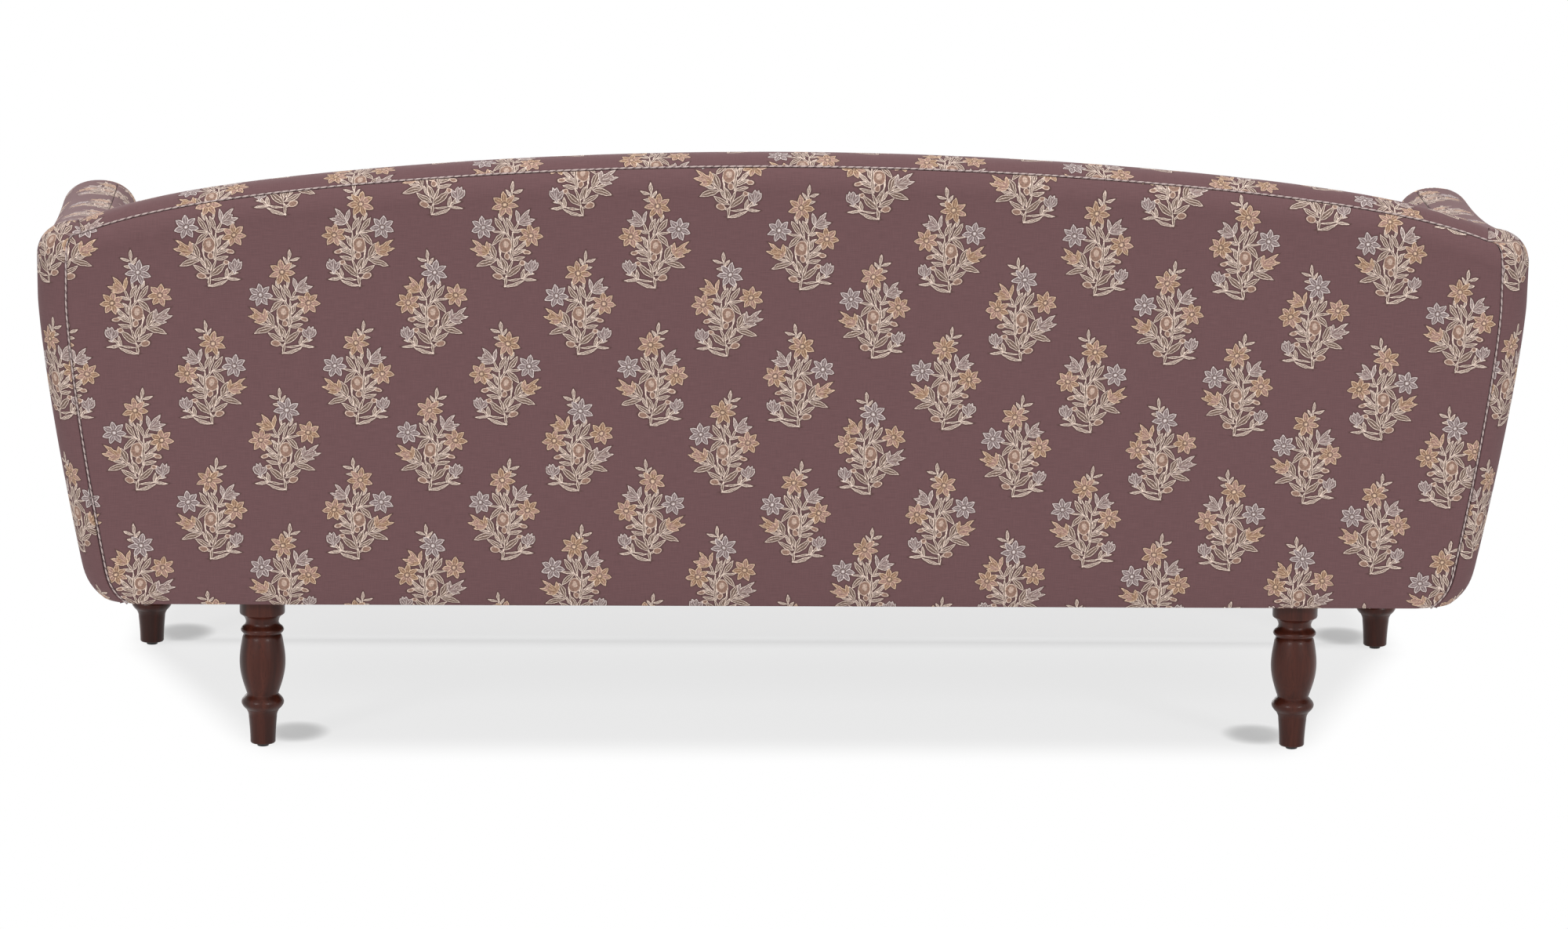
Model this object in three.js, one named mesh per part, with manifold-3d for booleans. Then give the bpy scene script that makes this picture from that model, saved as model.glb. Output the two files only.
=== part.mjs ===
// Camelback sofa, built as it comes apart on an upholsterer's bench.
// Millimetres, +Z up, the front faces -Y, the origin lies on the floor under the middle.
// "left" is the left hand of a person who sits in the sofa, towards +X.
import * as THREE from "three";
import { mergeVertices } from "three/addons/utils/BufferGeometryUtils.js";
import Module from "manifold-3d";

const wasm = await Module();
wasm.setup();

const sofa = new THREE.Group();
const { lerp, clamp, degToRad } = THREE.MathUtils;

// Overall sizes
const sofaWidth = 2166;
const sofaDepth = 860;
const crownHeight = 881;
const undersideHeight = 218;
const deckHeight = 342;
const armFrontHeight = 718;

// The wall that makes back and arms
const wallThickness = 115;
const capRise = 50;
const capPowerShare = 2.2;
const crownDrop = 80;
const shoulderDrop = 22;
const shoulderPowerShare = 10;
const armSplay = 30;
const armRisePowerShare = 1.2;
const sideFlare = 65;
const flarePowerShare = 1.33;
const backLeanAngle = 9;
const cornerRadius = 62;
const sideTuck = 20;
const backTuck = 7;
const tuckHeight = 60;
const tuckPowerShare = 3;
const seatBackReach = 140;
const lumbarSwell = 15;
const armInnerDraw = 18;

// Cloth, seams and clearances
const clothThickness = 2;
const fitGap = 0.3;
const coverFit = 0.5;
const weltRadius = 2.2;
const seamHalf = 3.2;
const seamInsetLow = 36;
const seamInsetHigh = 52;
const seamCornerRadius = 30;
const overrun = 5;

// Places round the cap, from its outer foot (0) over the crest (0.5) to its inner foot (1)
const capFootShare = 0.13;
const weltShare = 0.25;
const capMiddleShare = 0.37;
const crestShare = 0.5;
const armSeamShare = 0.65;
const backSeamShare = 0.8;
const capInnerShare = 0.9;
const seamGapShare = 0.02;

// Where covers and pads stop short of each other
const creaseGap = 5;
const padCreaseGap = 9;
const padRest = 1.5;
const boardClearance = 3;
const bendClearance = 2.5;
const railSeatGap = 1.5;

// Hardwood frame
const railThickness = 28;
const railHeight = 90;
const railClearance = 2.3;
const sideRailThickness = 50;
const postDepth = 45;
const backPostWidth = 60;
const armBoardThickness = 26;
const armPadThickness = 25;
const topRailEndHeight = 60;
const topRailMiddleHeight = 100;
const uprightWidth = 60;
const tackRailHeight = 50;
const tackRailLift = 20;
const braceWidth = 90;
const braceThickness = 40;
const cornerBlockLength = 110;
const cornerBlockHeight = 60;
const cornerBlockTip = 20;

// Legs and their hardware
const rearLegEndInset = 309;
const frontLegEndInset = 104;
const rearLegSetback = 58;
const frontLegSetback = 40;
const legFlangeRadius = 32.5;
const plateSize = 60;
const plateThickness = 2.5;
const boltRadius = 4;
const boltLength = 30;
const boltClearance = 0.5;
const gliderRadius = 8.5;
const gliderHeight = 4.5;
const nailRadius = 1.8;
const nailLength = 10;

// Seat springs, webbing and padding
const springCount = 11;
const springBends = 9;
const springWireRadius = 2;
const springHalfWidth = 25;
const springCrown = 12;
const springBendShare = 0.5;
const springEndLap = 12;
const tieWireRadius = 1.6;
const webbingWidth = 50;
const webbingThickness = 2;
const webbingCount = 8;
const webbingLap = 20;
const deckPadThickness = 9;
const edgeRollWidth = 11;
const frontEdgeRadius = 12;
const borderFlange = 36;
const dustHem = 7;

// Seat cushions
const cushionThickness = 140;
const cushionCrown = 22;
const cushionBelly = 5;
const cushionGap = 4;
const cushionDrawIn = 7;
const cushionCornerRadius = 26;
const cushionClothThickness = 1.6;
const cushionFrontSet = 4;
const pillowPowerShare = 0.5;
const zipLength = 640;
const zipHeight = 12;
const zipTeethWidth = 3;
const zipTeethRise = 1.6;
const sliderLength = 14;
const sliderWidth = 9;
const sliderHeight = 4;
const pullLength = 22;
const pullThickness = 1.2;

// Finishes
const finishes = {
  printedCloth: [0x71555a, 0.9, 0],
  weltCloth: [0x9a8790, 0.85, 0],
  leg: [0x48281f, 0.35, 0],
  hardwood: [0xb08a5c, 0.7, 0],
  foam: [0xe9dfc4, 0.95, 0],
  felt: [0xcfc8ba, 0.95, 0],
  webbing: [0x8c7a55, 0.9, 0],
  blackCloth: [0x1d1c1d, 0.95, 0],
  steel: [0x8d9094, 0.4, 0.9],
  nylon: [0x161616, 0.5, 0],
  zipTape: [0x5c464b, 0.8, 0],
};

function addPart(name, geometry, finish) {
  const [color, roughness, metalness] = finishes[finish];
  const material = new THREE.MeshStandardMaterial({ color, roughness, metalness });
  const mesh = new THREE.Mesh(geometry, material);
  mesh.name = name;
  sofa.add(mesh);
  return mesh;
}

// Geometry helpers

function welded(geometry) {
  const bare = geometry.clone();
  bare.deleteAttribute("normal");
  bare.deleteAttribute("uv");
  const merged = mergeVertices(bare);
  const index = merged.getIndex().array;
  const kept = [];
  for (let i = 0; i < index.length; i += 3) {
    const [a, b, c] = [index[i], index[i + 1], index[i + 2]];
    if (a !== b && b !== c && c !== a) kept.push(a, b, c);
  }
  merged.setIndex(kept);
  merged.computeVertexNormals();
  return merged;
}

// Turns a list of points and triangles into a closed mesh whose faces point out.
function closedGeometry(points, faces) {
  const cross = new THREE.Vector3();
  let volume = 0;
  for (const [a, b, c] of faces) {
    volume += points[a].dot(cross.crossVectors(points[b], points[c]));
  }
  const ordered = volume > 0 ? faces : faces.map(([a, b, c]) => [a, c, b]);
  const geometry = new THREE.BufferGeometry().setFromPoints(points);
  geometry.setIndex(ordered.flat());
  geometry.computeVertexNormals();
  return geometry;
}

// A grid of points over a patch: one row of points for each place across it.
function patch(across, along, pointAt) {
  const points = [];
  for (const u of across) {
    for (const v of along) points.push(pointAt(u, v));
  }
  return { points, faces: gridFaces(across.length, along.length) };
}

function gridFaces(columns, rows) {
  const faces = [];
  for (let i = 0; i < columns - 1; i += 1) {
    for (let j = 0; j < rows - 1; j += 1) {
      const a = i * rows + j;
      const b = a + rows;
      faces.push([a, b, b + 1], [a, b + 1, a + 1]);
    }
  }
  return faces;
}

function vertexNormals(surface) {
  const normals = surface.points.map(() => new THREE.Vector3());
  const [first, second, normal] = [new THREE.Vector3(), new THREE.Vector3(), new THREE.Vector3()];
  for (const [a, b, c] of surface.faces) {
    first.subVectors(surface.points[b], surface.points[a]);
    second.subVectors(surface.points[c], surface.points[a]);
    normal.crossVectors(first, second);
    for (const corner of [a, b, c]) normals[corner].add(normal);
  }
  return normals.map((n) => n.normalize());
}

function offsetPoints(surface, distance) {
  const normals = vertexNormals(surface);
  return surface.points.map((point, i) => point.clone().addScaledVector(normals[i], distance));
}

// Joins an outer and an inner layer of the same grid into one closed body.
function layered(surface, innerPoints) {
  const count = surface.points.length;
  const faces = [];
  const edges = new Map();
  for (const [a, b, c] of surface.faces) {
    faces.push([a, b, c], [a + count, c + count, b + count]);
    for (const [from, to] of [[a, b], [b, c], [c, a]]) {
      const back = `${to}:${from}`;
      if (edges.has(back)) edges.delete(back);
      else edges.set(`${from}:${to}`, [from, to]);
    }
  }
  for (const [from, to] of edges.values()) {
    faces.push([to, from, from + count], [to, from + count, to + count]);
  }
  return closedGeometry([...surface.points, ...innerPoints], faces);
}

// A cloth shell: the patch is its outer face. side is 1 where the patch normals point out.
function clothShell(surface, side, thickness = clothThickness) {
  return layered(surface, offsetPoints(surface, -side * thickness));
}

function slab(across, along, outerAt, innerAt) {
  const outer = patch(across, along, outerAt);
  return layered(outer, patch(across, along, innerAt).points);
}

function mirrored(geometry) {
  const copy = geometry.clone();
  copy.scale(-1, 1, 1);
  const index = copy.getIndex().array;
  for (let i = 0; i < index.length; i += 3) {
    [index[i + 1], index[i + 2]] = [index[i + 2], index[i + 1]];
  }
  copy.computeVertexNormals();
  return copy;
}

function addPair(name, geometry, finish) {
  addPart(`${name}_left`, geometry, finish);
  addPart(`${name}_right`, mirrored(geometry), finish);
}

function steps(count, from = 0, to = 1) {
  return Array.from({ length: count + 1 }, (_, i) => lerp(from, to, i / count));
}

function solidOf(geometry) {
  const mesh = welded(geometry);
  return new wasm.Manifold(new wasm.Mesh({
    numProp: 3,
    vertProperties: Float32Array.from(mesh.getAttribute("position").array),
    triVerts: Uint32Array.from(mesh.getIndex().array),
  }));
}

function geometryOf(solid) {
  const { vertProperties, triVerts } = solid.getMesh();
  const geometry = new THREE.BufferGeometry();
  geometry.setAttribute("position", new THREE.BufferAttribute(vertProperties, 3));
  geometry.setIndex(Array.from(triVerts));
  geometry.computeVertexNormals();
  return geometry;
}

function fused(geometries) {
  const solids = geometries.map(solidOf);
  return geometryOf(solids.reduce((sum, next) => sum.add(next)));
}

function box(low, high) {
  const size = new THREE.Vector3().subVectors(high, low);
  const centre = new THREE.Vector3().addVectors(low, high).divideScalar(2);
  const geometry = new THREE.BoxGeometry(size.x, size.y, size.z);
  geometry.translate(centre.x, centre.y, centre.z);
  return welded(geometry);
}

// A flat plate cut from an outline in plan, with its holes, between two heights.
function plate(outline, holes, low, high, curveSegments = 4) {
  const shape = new THREE.Shape(outline);
  shape.holes.push(...holes);
  const geometry = new THREE.ExtrudeGeometry(shape, {
    depth: high - low, bevelEnabled: false, curveSegments,
  });
  geometry.translate(0, 0, low);
  return welded(geometry);
}

function roundHole(x, y, radius) {
  const hole = new THREE.Path();
  hole.absarc(x, y, radius, 0, Math.PI * 2, true);
  return hole;
}

function squareOutline(x, y, size) {
  const half = size / 2;
  return [[-half, -half], [half, -half], [half, half], [-half, half]]
    .map(([dx, dy]) => new THREE.Vector2(x + dx, y + dy));
}

// A curve whose sections stand at the given points, however far apart they are.
class StationCurve extends THREE.CatmullRomCurve3 {
  getUtoTmapping(share) {
    return share;
  }
}

function wireAlong(points, radius, sides) {
  const circle = new THREE.EllipseCurve(0, 0, radius, radius);
  const ring = new THREE.Shape(circle.getPoints(sides).slice(0, -1));
  const extrudePath = new StationCurve(points, false, "centripetal");
  const settings = { steps: points.length - 1, extrudePath, bevelEnabled: false };
  return welded(new THREE.ExtrudeGeometry(ring, settings));
}

// Form of the wall: where its outer and inner faces and its rounded cap lie

const frontY = -sofaDepth / 2;
const leanSlope = Math.tan(degToRad(backLeanAngle));
const backBaseY = sofaDepth / 2 - leanSlope * (crownHeight - capRise - undersideHeight);
const rearHalfWidth = sofaWidth / 2 - armSplay;
const shoulderX = rearHalfWidth - wallThickness / 2;
const shoulderHeight = crownHeight - crownDrop - shoulderDrop;
const flareTopHeight = Math.min(armFrontHeight, shoulderHeight) - capRise;
const seatBackY = backBaseY + leanSlope * (deckHeight - undersideHeight) - seatBackReach - railThickness;

function tuckAt(z, depth) {
  const up = clamp((z - undersideHeight) / tuckHeight, 0, 1);
  return depth * (1 - up) ** tuckPowerShare;
}

function backY(z) {
  return backBaseY + leanSlope * (z - undersideHeight) - tuckAt(z, backTuck);
}

const shoulderY = backY(shoulderHeight - capRise) - wallThickness / 2;

function splayAt(y) {
  return armSplay * Math.max(0, (shoulderY - y) / (shoulderY - frontY));
}

function sideX(z, y) {
  const below = (flareTopHeight - Math.min(z, flareTopHeight)) / (flareTopHeight - undersideHeight);
  return rearHalfWidth + splayAt(y) - sideFlare * below ** flarePowerShare - tuckAt(z, sideTuck);
}

// The hump of the back: a flat parabola that falls off faster towards the shoulders.
function backRidge(x) {
  const out = Math.abs(x) / shoulderX;
  return crownHeight - crownDrop * out ** 2 - shoulderDrop * out ** shoulderPowerShare;
}

// The top of the arm starts level at the front and rises to meet the shoulder of the back.
function armRidge(y) {
  const along = clamp((y - frontY) / (shoulderY - frontY), 0, 1);
  return lerp(armFrontHeight, shoulderHeight, along ** armRisePowerShare);
}

// The cap is half a superellipse, as wide as the wall and as high as capRise.
function capAt(share) {
  const turn = Math.PI * share;
  const across = Math.sign(Math.cos(turn)) * Math.abs(Math.cos(turn)) ** (2 / capPowerShare);
  const up = Math.abs(Math.sin(turn)) ** (2 / capPowerShare);
  return { inset: wallThickness * (1 - across) / 2, rise: capRise * up };
}

function capInset(rise) {
  const up = clamp(rise / capRise, 0, 1) ** capPowerShare;
  return wallThickness * (1 - (1 - up) ** (1 / capPowerShare)) / 2;
}

function backInnerY(x, z) {
  const foot = backRidge(x) - capRise;
  const footY = backY(foot) - wallThickness;
  if (z > foot) return footY + capInset(z - foot);
  const up = (z - deckHeight) / (foot - deckHeight);
  return lerp(seatBackY, footY, up) - lumbarSwell * Math.sin(Math.PI * clamp(up, 0, 1));
}

function armInnerX(z, y) {
  const foot = armRidge(y) - capRise;
  const footX = rearHalfWidth + splayAt(y) - wallThickness;
  if (z > foot) return footX + capInset(z - foot);
  return footX - armInnerDraw * clamp((foot - z) / (foot - deckHeight), 0, 1);
}

// A point of the outer face: path 0 to 1 runs along the arm, 1 to 2 round the corner, then along the back.
function outerPoint(path, z, wallZ, inset) {
  const rearY = backY(wallZ);
  const centreY = rearY - cornerRadius;
  const centreX = sideX(wallZ, centreY) - cornerRadius;
  if (path <= 1) {
    const y = lerp(frontY + railClearance, centreY, path);
    return new THREE.Vector3(sideX(wallZ, y) - inset, y, z);
  }
  if (path <= 2) {
    const turn = (path - 1) * Math.PI / 2;
    const radius = cornerRadius - inset;
    return new THREE.Vector3(centreX + radius * Math.cos(turn), centreY + radius * Math.sin(turn), z);
  }
  return new THREE.Vector3(lerp(centreX, 0, path - 2), rearY - inset, z);
}

// The rear face seen from behind: its depth over any place (x, z) of the back panel.
function rearPoint(x, z, proud = 0) {
  const foot = backRidge(x) - capRise;
  const wallZ = Math.min(z, foot);
  const radius = cornerRadius - capInset(Math.max(0, z - foot)) + proud;
  const past = Math.max(0, Math.abs(x) - sideX(wallZ, shoulderY) + cornerRadius);
  const y = backY(wallZ) - cornerRadius + Math.sqrt(radius ** 2 - past ** 2);
  return new THREE.Vector3(x, y, z);
}

// Stations shared by every piece that follows the same face, so that layers keep their distance

const tuckShares = [0, 0.15, 0.4, 0.7, 1];
const wallShares = [0.16, 0.34, 0.54, 0.76, 1];
const innerWallShares = [0.86, 0.66, 0.44, 0.22, 0];
const padCapShares = [
  capFootShare, weltShare, capMiddleShare, crestShare, armSeamShare, backSeamShare, capInnerShare,
];
const crownShares = steps(14, -1, 1).map((share) => Math.sin(share * Math.PI / 2));
const armShares = [0, 0.2, 0.4, 0.6, 0.8, 0.94, 1];
const cornerShares = [0.2, 0.4, 0.6, 0.8, 1];
const weltBendShares = [0.35, 0.62, 0.84, 1];
const frontCapShares = [0.08, 0.16, 0.25, 0.34, 0.42, 0.47];
const edgeTurnShares = [0, 0.33, 0.67, 1];

const tuckTop = undersideHeight + tuckHeight;
const tuckHeights = tuckShares.map((share) => undersideHeight + share * tuckHeight);

function wallHeights(top) {
  return [...tuckHeights, ...wallShares.map((share) => lerp(tuckTop, top, share))];
}

// Place of the welt on the back panel

const weltCap = capAt(weltShare);
const weltDrop = capRise - weltCap.rise;
const weltSideX = rearHalfWidth - seamInsetHigh;

function weltX(z) {
  const up = clamp((z - undersideHeight) / (shoulderHeight - undersideHeight), 0, 1);
  return sideX(z, shoulderY) - lerp(seamInsetLow, seamInsetHigh, up);
}

const weltBendX = weltSideX - seamCornerRadius;
const weltBendZ = backRidge(weltBendX) - weltDrop - seamCornerRadius;

// Height of a line that follows the welt at a distance towards the middle of the panel.
function weltLineZ(x, inside) {
  const past = Math.abs(x) - weltBendX;
  if (past <= 0) return backRidge(x) - weltDrop - inside;
  const radius = seamCornerRadius - inside;
  return weltBendZ + Math.sqrt(Math.max(0, radius ** 2 - past ** 2));
}

// Outer covers

function outsideBackCover() {
  const edgeX = weltSideX - seamHalf;
  const bend = seamCornerRadius - seamHalf;
  const straight = crownShares.map((share) => share * weltBendX);
  const corner = weltBendShares.map((share) => weltBendX + bend * Math.sin(share * Math.PI / 2));
  const columns = [...corner.map((x) => -x).reverse(), ...straight, ...corner];
  const capRows = [capFootShare, weltShare].map((share) => 1 + capAt(share).rise / weltCap.rise);
  const surface = patch(columns, [...tuckHeights, ...wallShares, ...capRows], (x, row) => {
    const foot = backRidge(x) - capRise;
    let z = row;
    if (row <= 1) z = lerp(tuckTop, foot, row);
    else if (row <= 2) z = lerp(foot, weltLineZ(x, seamHalf), row - 1);
    const reach = (weltX(z) - seamHalf) / edgeX;
    return rearPoint(x * Math.min(1, reach), z);
  });
  return clothShell(surface, -1);
}

// Where the top border stops against the arm cover, for each place round the cap.
function borderEndX(share) {
  if (share <= crestShare) {
    return lerp(weltBendX, shoulderX, Math.max(0, share - weltShare) / (crestShare - weltShare));
  }
  return meetingX(share);
}

// The place along the inner half of the cap where the arm's surface meets the back's.
function meetingX(share) {
  const cap = capAt(share);
  let low = shoulderX - wallThickness;
  let high = shoulderX;
  for (let i = 0; i < 30; i += 1) {
    const x = (low + high) / 2;
    const foot = backRidge(x) - capRise;
    const y = backY(foot) - cap.inset;
    if (armInnerX(foot + cap.rise, y) > x) low = x;
    else high = x;
  }
  return Math.min(low, shoulderX);
}

function backCapPoint(x, share) {
  const cap = capAt(share);
  const foot = backRidge(x) - capRise;
  return new THREE.Vector3(x, backY(foot) - cap.inset, foot + cap.rise);
}

function topBorderCover() {
  const rows = [
    weltShare + seamGapShare, capMiddleShare, crestShare, armSeamShare, backSeamShare - seamGapShare / 2,
  ];
  const surface = patch(crownShares, rows, (u, share) => backCapPoint(u * (borderEndX(share) - creaseGap), share));
  return clothShell(surface, -1);
}

// Rows of the inner faces: shares of the cap, then 1 for its foot, then minus the level down the wall.
const innerRows = [1, ...innerWallShares.map((share) => -share)];

// A point of the inner back: u runs from arm to arm. The last one lies a gap short of the arm.
function backInnerPoint(u, row, gap = creaseGap) {
  const short = Math.abs(u) === 1 ? gap : creaseGap;
  if (row > 0 && row < 1) return backCapPoint(u * (borderEndX(row) - short), row);
  const level = row >= 1 ? 1 : -row;
  const probe = armInnerX(deckHeight, seatBackY);
  const z = lerp(deckHeight + clothThickness, backRidge(u * probe) - capRise, level);
  const x = u * (armInnerX(z, backInnerY(probe, z)) - short);
  const height = lerp(deckHeight + clothThickness, backRidge(x) - capRise, level);
  return new THREE.Vector3(x, backInnerY(x, height), height);
}

function insideBackCover() {
  const rows = [backSeamShare + seamGapShare / 2, capInnerShare, ...innerRows];
  const surface = patch(crownShares, rows, (u, row) => backInnerPoint(u, row));
  return clothShell(surface, -1);
}

// The rear edge of the outside arm cover: along the welt, then across the cap to the shoulder.
function armCoverEnd(z, wallZ, inset, share) {
  let x = weltX(z) + seamHalf;
  if (z > weltBendZ) {
    const radius = seamCornerRadius + seamHalf + bendClearance;
    x = weltBendX + Math.sqrt(Math.max(0, radius ** 2 - (z - weltBendZ) ** 2));
  }
  if (share > weltShare) x = borderEndX(share) + coverFit;
  const centreX = sideX(wallZ, shoulderY) - cornerRadius;
  const reach = (x - centreX) / (cornerRadius - inset);
  return reach >= 0 ? 1 + Math.acos(Math.min(1, reach)) / (Math.PI / 2) : 2 - (x - centreX) / centreX;
}

// The seam on top of the arm runs straight and slips to the crest where the arm meets the back.
function armSeamAt(u) {
  return u < 1 ? armSeamShare : crestShare;
}

function outsideArmCover() {
  const capRowShares = [
    capFootShare, weltShare, weltShare + seamGapShare, capMiddleShare, crestShare, armSeamShare,
  ];
  const columns = [...armShares, ...cornerShares.map((share) => 1 + share)];
  const wallCount = tuckShares.length + wallShares.length;
  const rows = [...Array(wallCount + capRowShares.length).keys()];
  const surface = patch(columns, rows, (column, row) => {
    const straight = Math.min(column, 1);
    const foot = armRidge(lerp(frontY, shoulderY, straight)) - capRise;
    const place = (z, wallZ, inset, share) => {
      const end = armCoverEnd(z, wallZ, inset, share);
      return outerPoint(column <= 1 ? column : lerp(1, end, column - 1), z, wallZ, inset);
    };
    if (row < wallCount) {
      const z = wallHeights(foot)[row];
      return place(z, z, 0, 0);
    }
    const rowShare = capRowShares[row - wallCount];
    const share = rowShare === armSeamShare ? armSeamAt(straight) - seamGapShare / 2 : rowShare;
    const cap = capAt(share);
    const inset = column > 1 ? Math.min(cap.inset, cornerRadius - weltRadius) : cap.inset;
    return place(foot + cap.rise, foot, inset, share);
  });
  return clothShell(surface, 1);
}

function armCapPoint(share, y) {
  const cap = capAt(share);
  return new THREE.Vector3(rearHalfWidth + splayAt(y) - cap.inset, y, armRidge(y) - capRise + cap.rise);
}

function armInnerPoint(u, row, startY, gap = creaseGap) {
  const short = u === 1 ? gap : creaseGap;
  const centreY = backY(shoulderHeight - capRise) - cornerRadius;
  if (row === armSeamShare) {
    return armCapPoint(armSeamAt(u) + seamGapShare / 2, lerp(startY, centreY, u));
  }
  if (row > 0 && row < 1) {
    const far = armCapPoint(row, shoulderY);
    const endY = row < crestShare ? centreY : backInnerY(far.x, far.z) - short;
    return armCapPoint(row, lerp(startY, endY, u));
  }
  const level = row >= 1 ? 1 : -row;
  const roughY = lerp(startY, shoulderY, u);
  const z = lerp(deckHeight + clothThickness, armRidge(roughY) - capRise, level);
  const endY = backInnerY(armInnerX(z, shoulderY), z) - short;
  const y = lerp(startY, endY, u);
  return new THREE.Vector3(armInnerX(z, y), y, z);
}

function insideArmCover() {
  const rows = [armSeamShare, backSeamShare, capInnerShare, ...innerRows];
  const startY = frontY + railClearance;
  const surface = patch(armShares, rows, (u, row) => armInnerPoint(u, row, startY));
  return clothShell(surface, 1);
}

// The front of an arm is a flat panel with the outline of the wall.
function armFrontCover() {
  const lowHeights = wallHeights(armFrontHeight - capRise);
  const rows = [...lowHeights, ...frontCapShares];
  const edgeAt = (side, row, y) => {
    const onCap = row < 1;
    const cap = onCap ? capAt(row) : { inset: 0, rise: 0 };
    const z = onCap ? armFrontHeight - capRise + cap.rise : row;
    const wallZ = Math.min(z, armFrontHeight - capRise);
    const outer = sideX(wallZ, frontY) - cap.inset;
    const inner = armInnerX(Math.max(wallZ, deckHeight), frontY) + cap.inset;
    return new THREE.Vector3(lerp(inner, outer, side), y, z);
  };
  return slab([0, 1], rows, (side, row) => edgeAt(side, row, frontY),
    (side, row) => edgeAt(side, row, frontY + clothThickness));
}

const frontInnerX = armInnerX(deckHeight, frontY);

function frontBorderCover() {
  const halfWidth = frontInnerX - coverFit;
  const edge = edgeTurnShares.map((share) => {
    const turn = share * Math.PI / 2;
    return new THREE.Vector2(frontY + frontEdgeRadius * (1 - Math.cos(turn)),
      deckHeight - frontEdgeRadius * (1 - Math.sin(turn)));
  });
  const profile = [new THREE.Vector2(frontY, undersideHeight), ...edge,
    new THREE.Vector2(frontY + borderFlange, deckHeight)];
  const surface = patch([-halfWidth, 0, halfWidth], profile, (x, { x: y, y: z }) => new THREE.Vector3(x, y, z));
  return clothShell(surface, 1);
}

addPart("outside_back_cover", outsideBackCover(), "printedCloth");
addPart("top_border_cover", topBorderCover(), "printedCloth");
addPart("inside_back_cover", insideBackCover(), "printedCloth");
addPair("outside_arm_cover", outsideArmCover(), "printedCloth");
addPair("inside_arm_cover", insideArmCover(), "printedCloth");
addPair("arm_front_cover", armFrontCover(), "printedCloth");
addPart("front_border_cover", frontBorderCover(), "printedCloth");

// The welt runs up one side of the back panel, along the hump and down the other side.
function backWelt() {
  const lift = weltRadius / 2;
  const sideHeights = wallShares.map((share) => lerp(tuckTop, backRidge(weltSideX) - capRise, share));
  const sidePoints = [...tuckHeights, ...sideHeights].map((z) => rearPoint(weltX(z), z, lift));
  const bend = steps(4, 0, Math.PI / 2).map((turn) => rearPoint(
    weltBendX + seamCornerRadius * Math.cos(turn),
    weltBendZ + seamCornerRadius * Math.sin(turn), lift));
  const crown = crownShares.filter((share) => share > 0 && share < 1).reverse()
    .map((share) => rearPoint(share * weltBendX, weltLineZ(share * weltBendX, 0), lift));
  const half = [...sidePoints, ...bend, ...crown];
  const other = half.map((point) => new THREE.Vector3(-point.x, point.y, point.z)).reverse();
  const top = rearPoint(0, weltLineZ(0, 0), lift);
  return wireAlong([...half, top, ...other], weltRadius, 6);
}

addPart("back_welt", backWelt(), "weltCloth");

// The wooden frame's faces lie this far inside the covers, measured square to the wall.

const frameFit = clothThickness + coverFit * 2;

function insideOf(faceAt, z) {
  const slope = (faceAt(z + fitGap) - faceAt(z - fitGap)) / (2 * fitGap);
  return faceAt(z) - frameFit * Math.hypot(1, slope);
}

function frameSideX(z, y) {
  return insideOf((height) => sideX(height, y), z);
}

function frameBackY(z) {
  return insideOf(backY, z);
}

// Padding

const padFit = clothThickness + coverFit;
const padFrontGap = postDepth + frameFit + webbingThickness + 2 * coverFit;

// Fills the space between the inside back cover and the frame, and rolls over the top rail.
function insideBackPad() {
  const rows = [...padCapShares, ...innerRows];
  const outer = patch(crownShares, rows, (u, row) => backInnerPoint(u, row, padCreaseGap));
  const outerPoints = offsetPoints(outer, padFit);
  const innerPoints = outer.points.map((point, i) => {
    const row = rows[i % rows.length];
    const foot = backRidge(point.x) - capRise;
    if (row > 0) {
      const back = backY(foot) - lerp(capAt(capFootShare).inset + padFit * 2, padFrontGap, row);
      return new THREE.Vector3(point.x, back, foot + padRest);
    }
    return new THREE.Vector3(point.x, backY(point.z) - padFrontGap, point.z);
  });
  return layered({ points: outerPoints, faces: outer.faces }, innerPoints);
}

function armPad() {
  const rows = [...padCapShares, ...innerRows];
  const startY = frontY + clothThickness + coverFit;
  const outer = patch(armShares, rows, (u, row) => armInnerPoint(u, row, startY, padCreaseGap));
  const outerPoints = offsetPoints(outer, -padFit - coverFit);
  const innerPoints = outer.points.map((point, i) => {
    const row = rows[i % rows.length];
    const foot = armRidge(point.y) - capRise;
    if (row > 0) {
      const outerX = sideX(foot, point.y) - capAt(capFootShare).inset - padFit * 2;
      const x = lerp(outerX, armInnerX(foot, point.y) + armPadThickness, row);
      return new THREE.Vector3(x, point.y, foot + padRest);
    }
    return new THREE.Vector3(point.x + armPadThickness, point.y, point.z);
  });
  return layered({ points: outerPoints, faces: outer.faces }, innerPoints);
}

addPart("inside_back_pad", insideBackPad(), "foam");
addPair("arm_pad", armPad(), "foam");

// Hardwood frame

const frameBottom = undersideHeight + railClearance;
const railTop = frameBottom + railHeight;
const railFaceY = frontY + clothThickness + coverFit;
const railBackY = railFaceY + railThickness;
const armFrameInset = armPadThickness + coverFit;
const postInnerX = armInnerX(deckHeight, railBackY) + armFrameInset;
function frameHeights(low, high) {
  return [low, ...wallHeights(armFrontHeight - capRise).filter((z) => z > low && z < high), high];
}

function armPost() {
  const top = armFrontHeight - capRise - armBoardThickness - fitGap;
  const at = (side, z, y) => {
    const inner = armInnerX(Math.max(z, deckHeight), y) + armFrameInset;
    return new THREE.Vector3(side ? frameSideX(z, y) : inner, y, z);
  };
  return slab([0, 1], frameHeights(frameBottom, top),
    (side, z) => at(side, z, railFaceY), (side, z) => at(side, z, railBackY));
}

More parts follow.
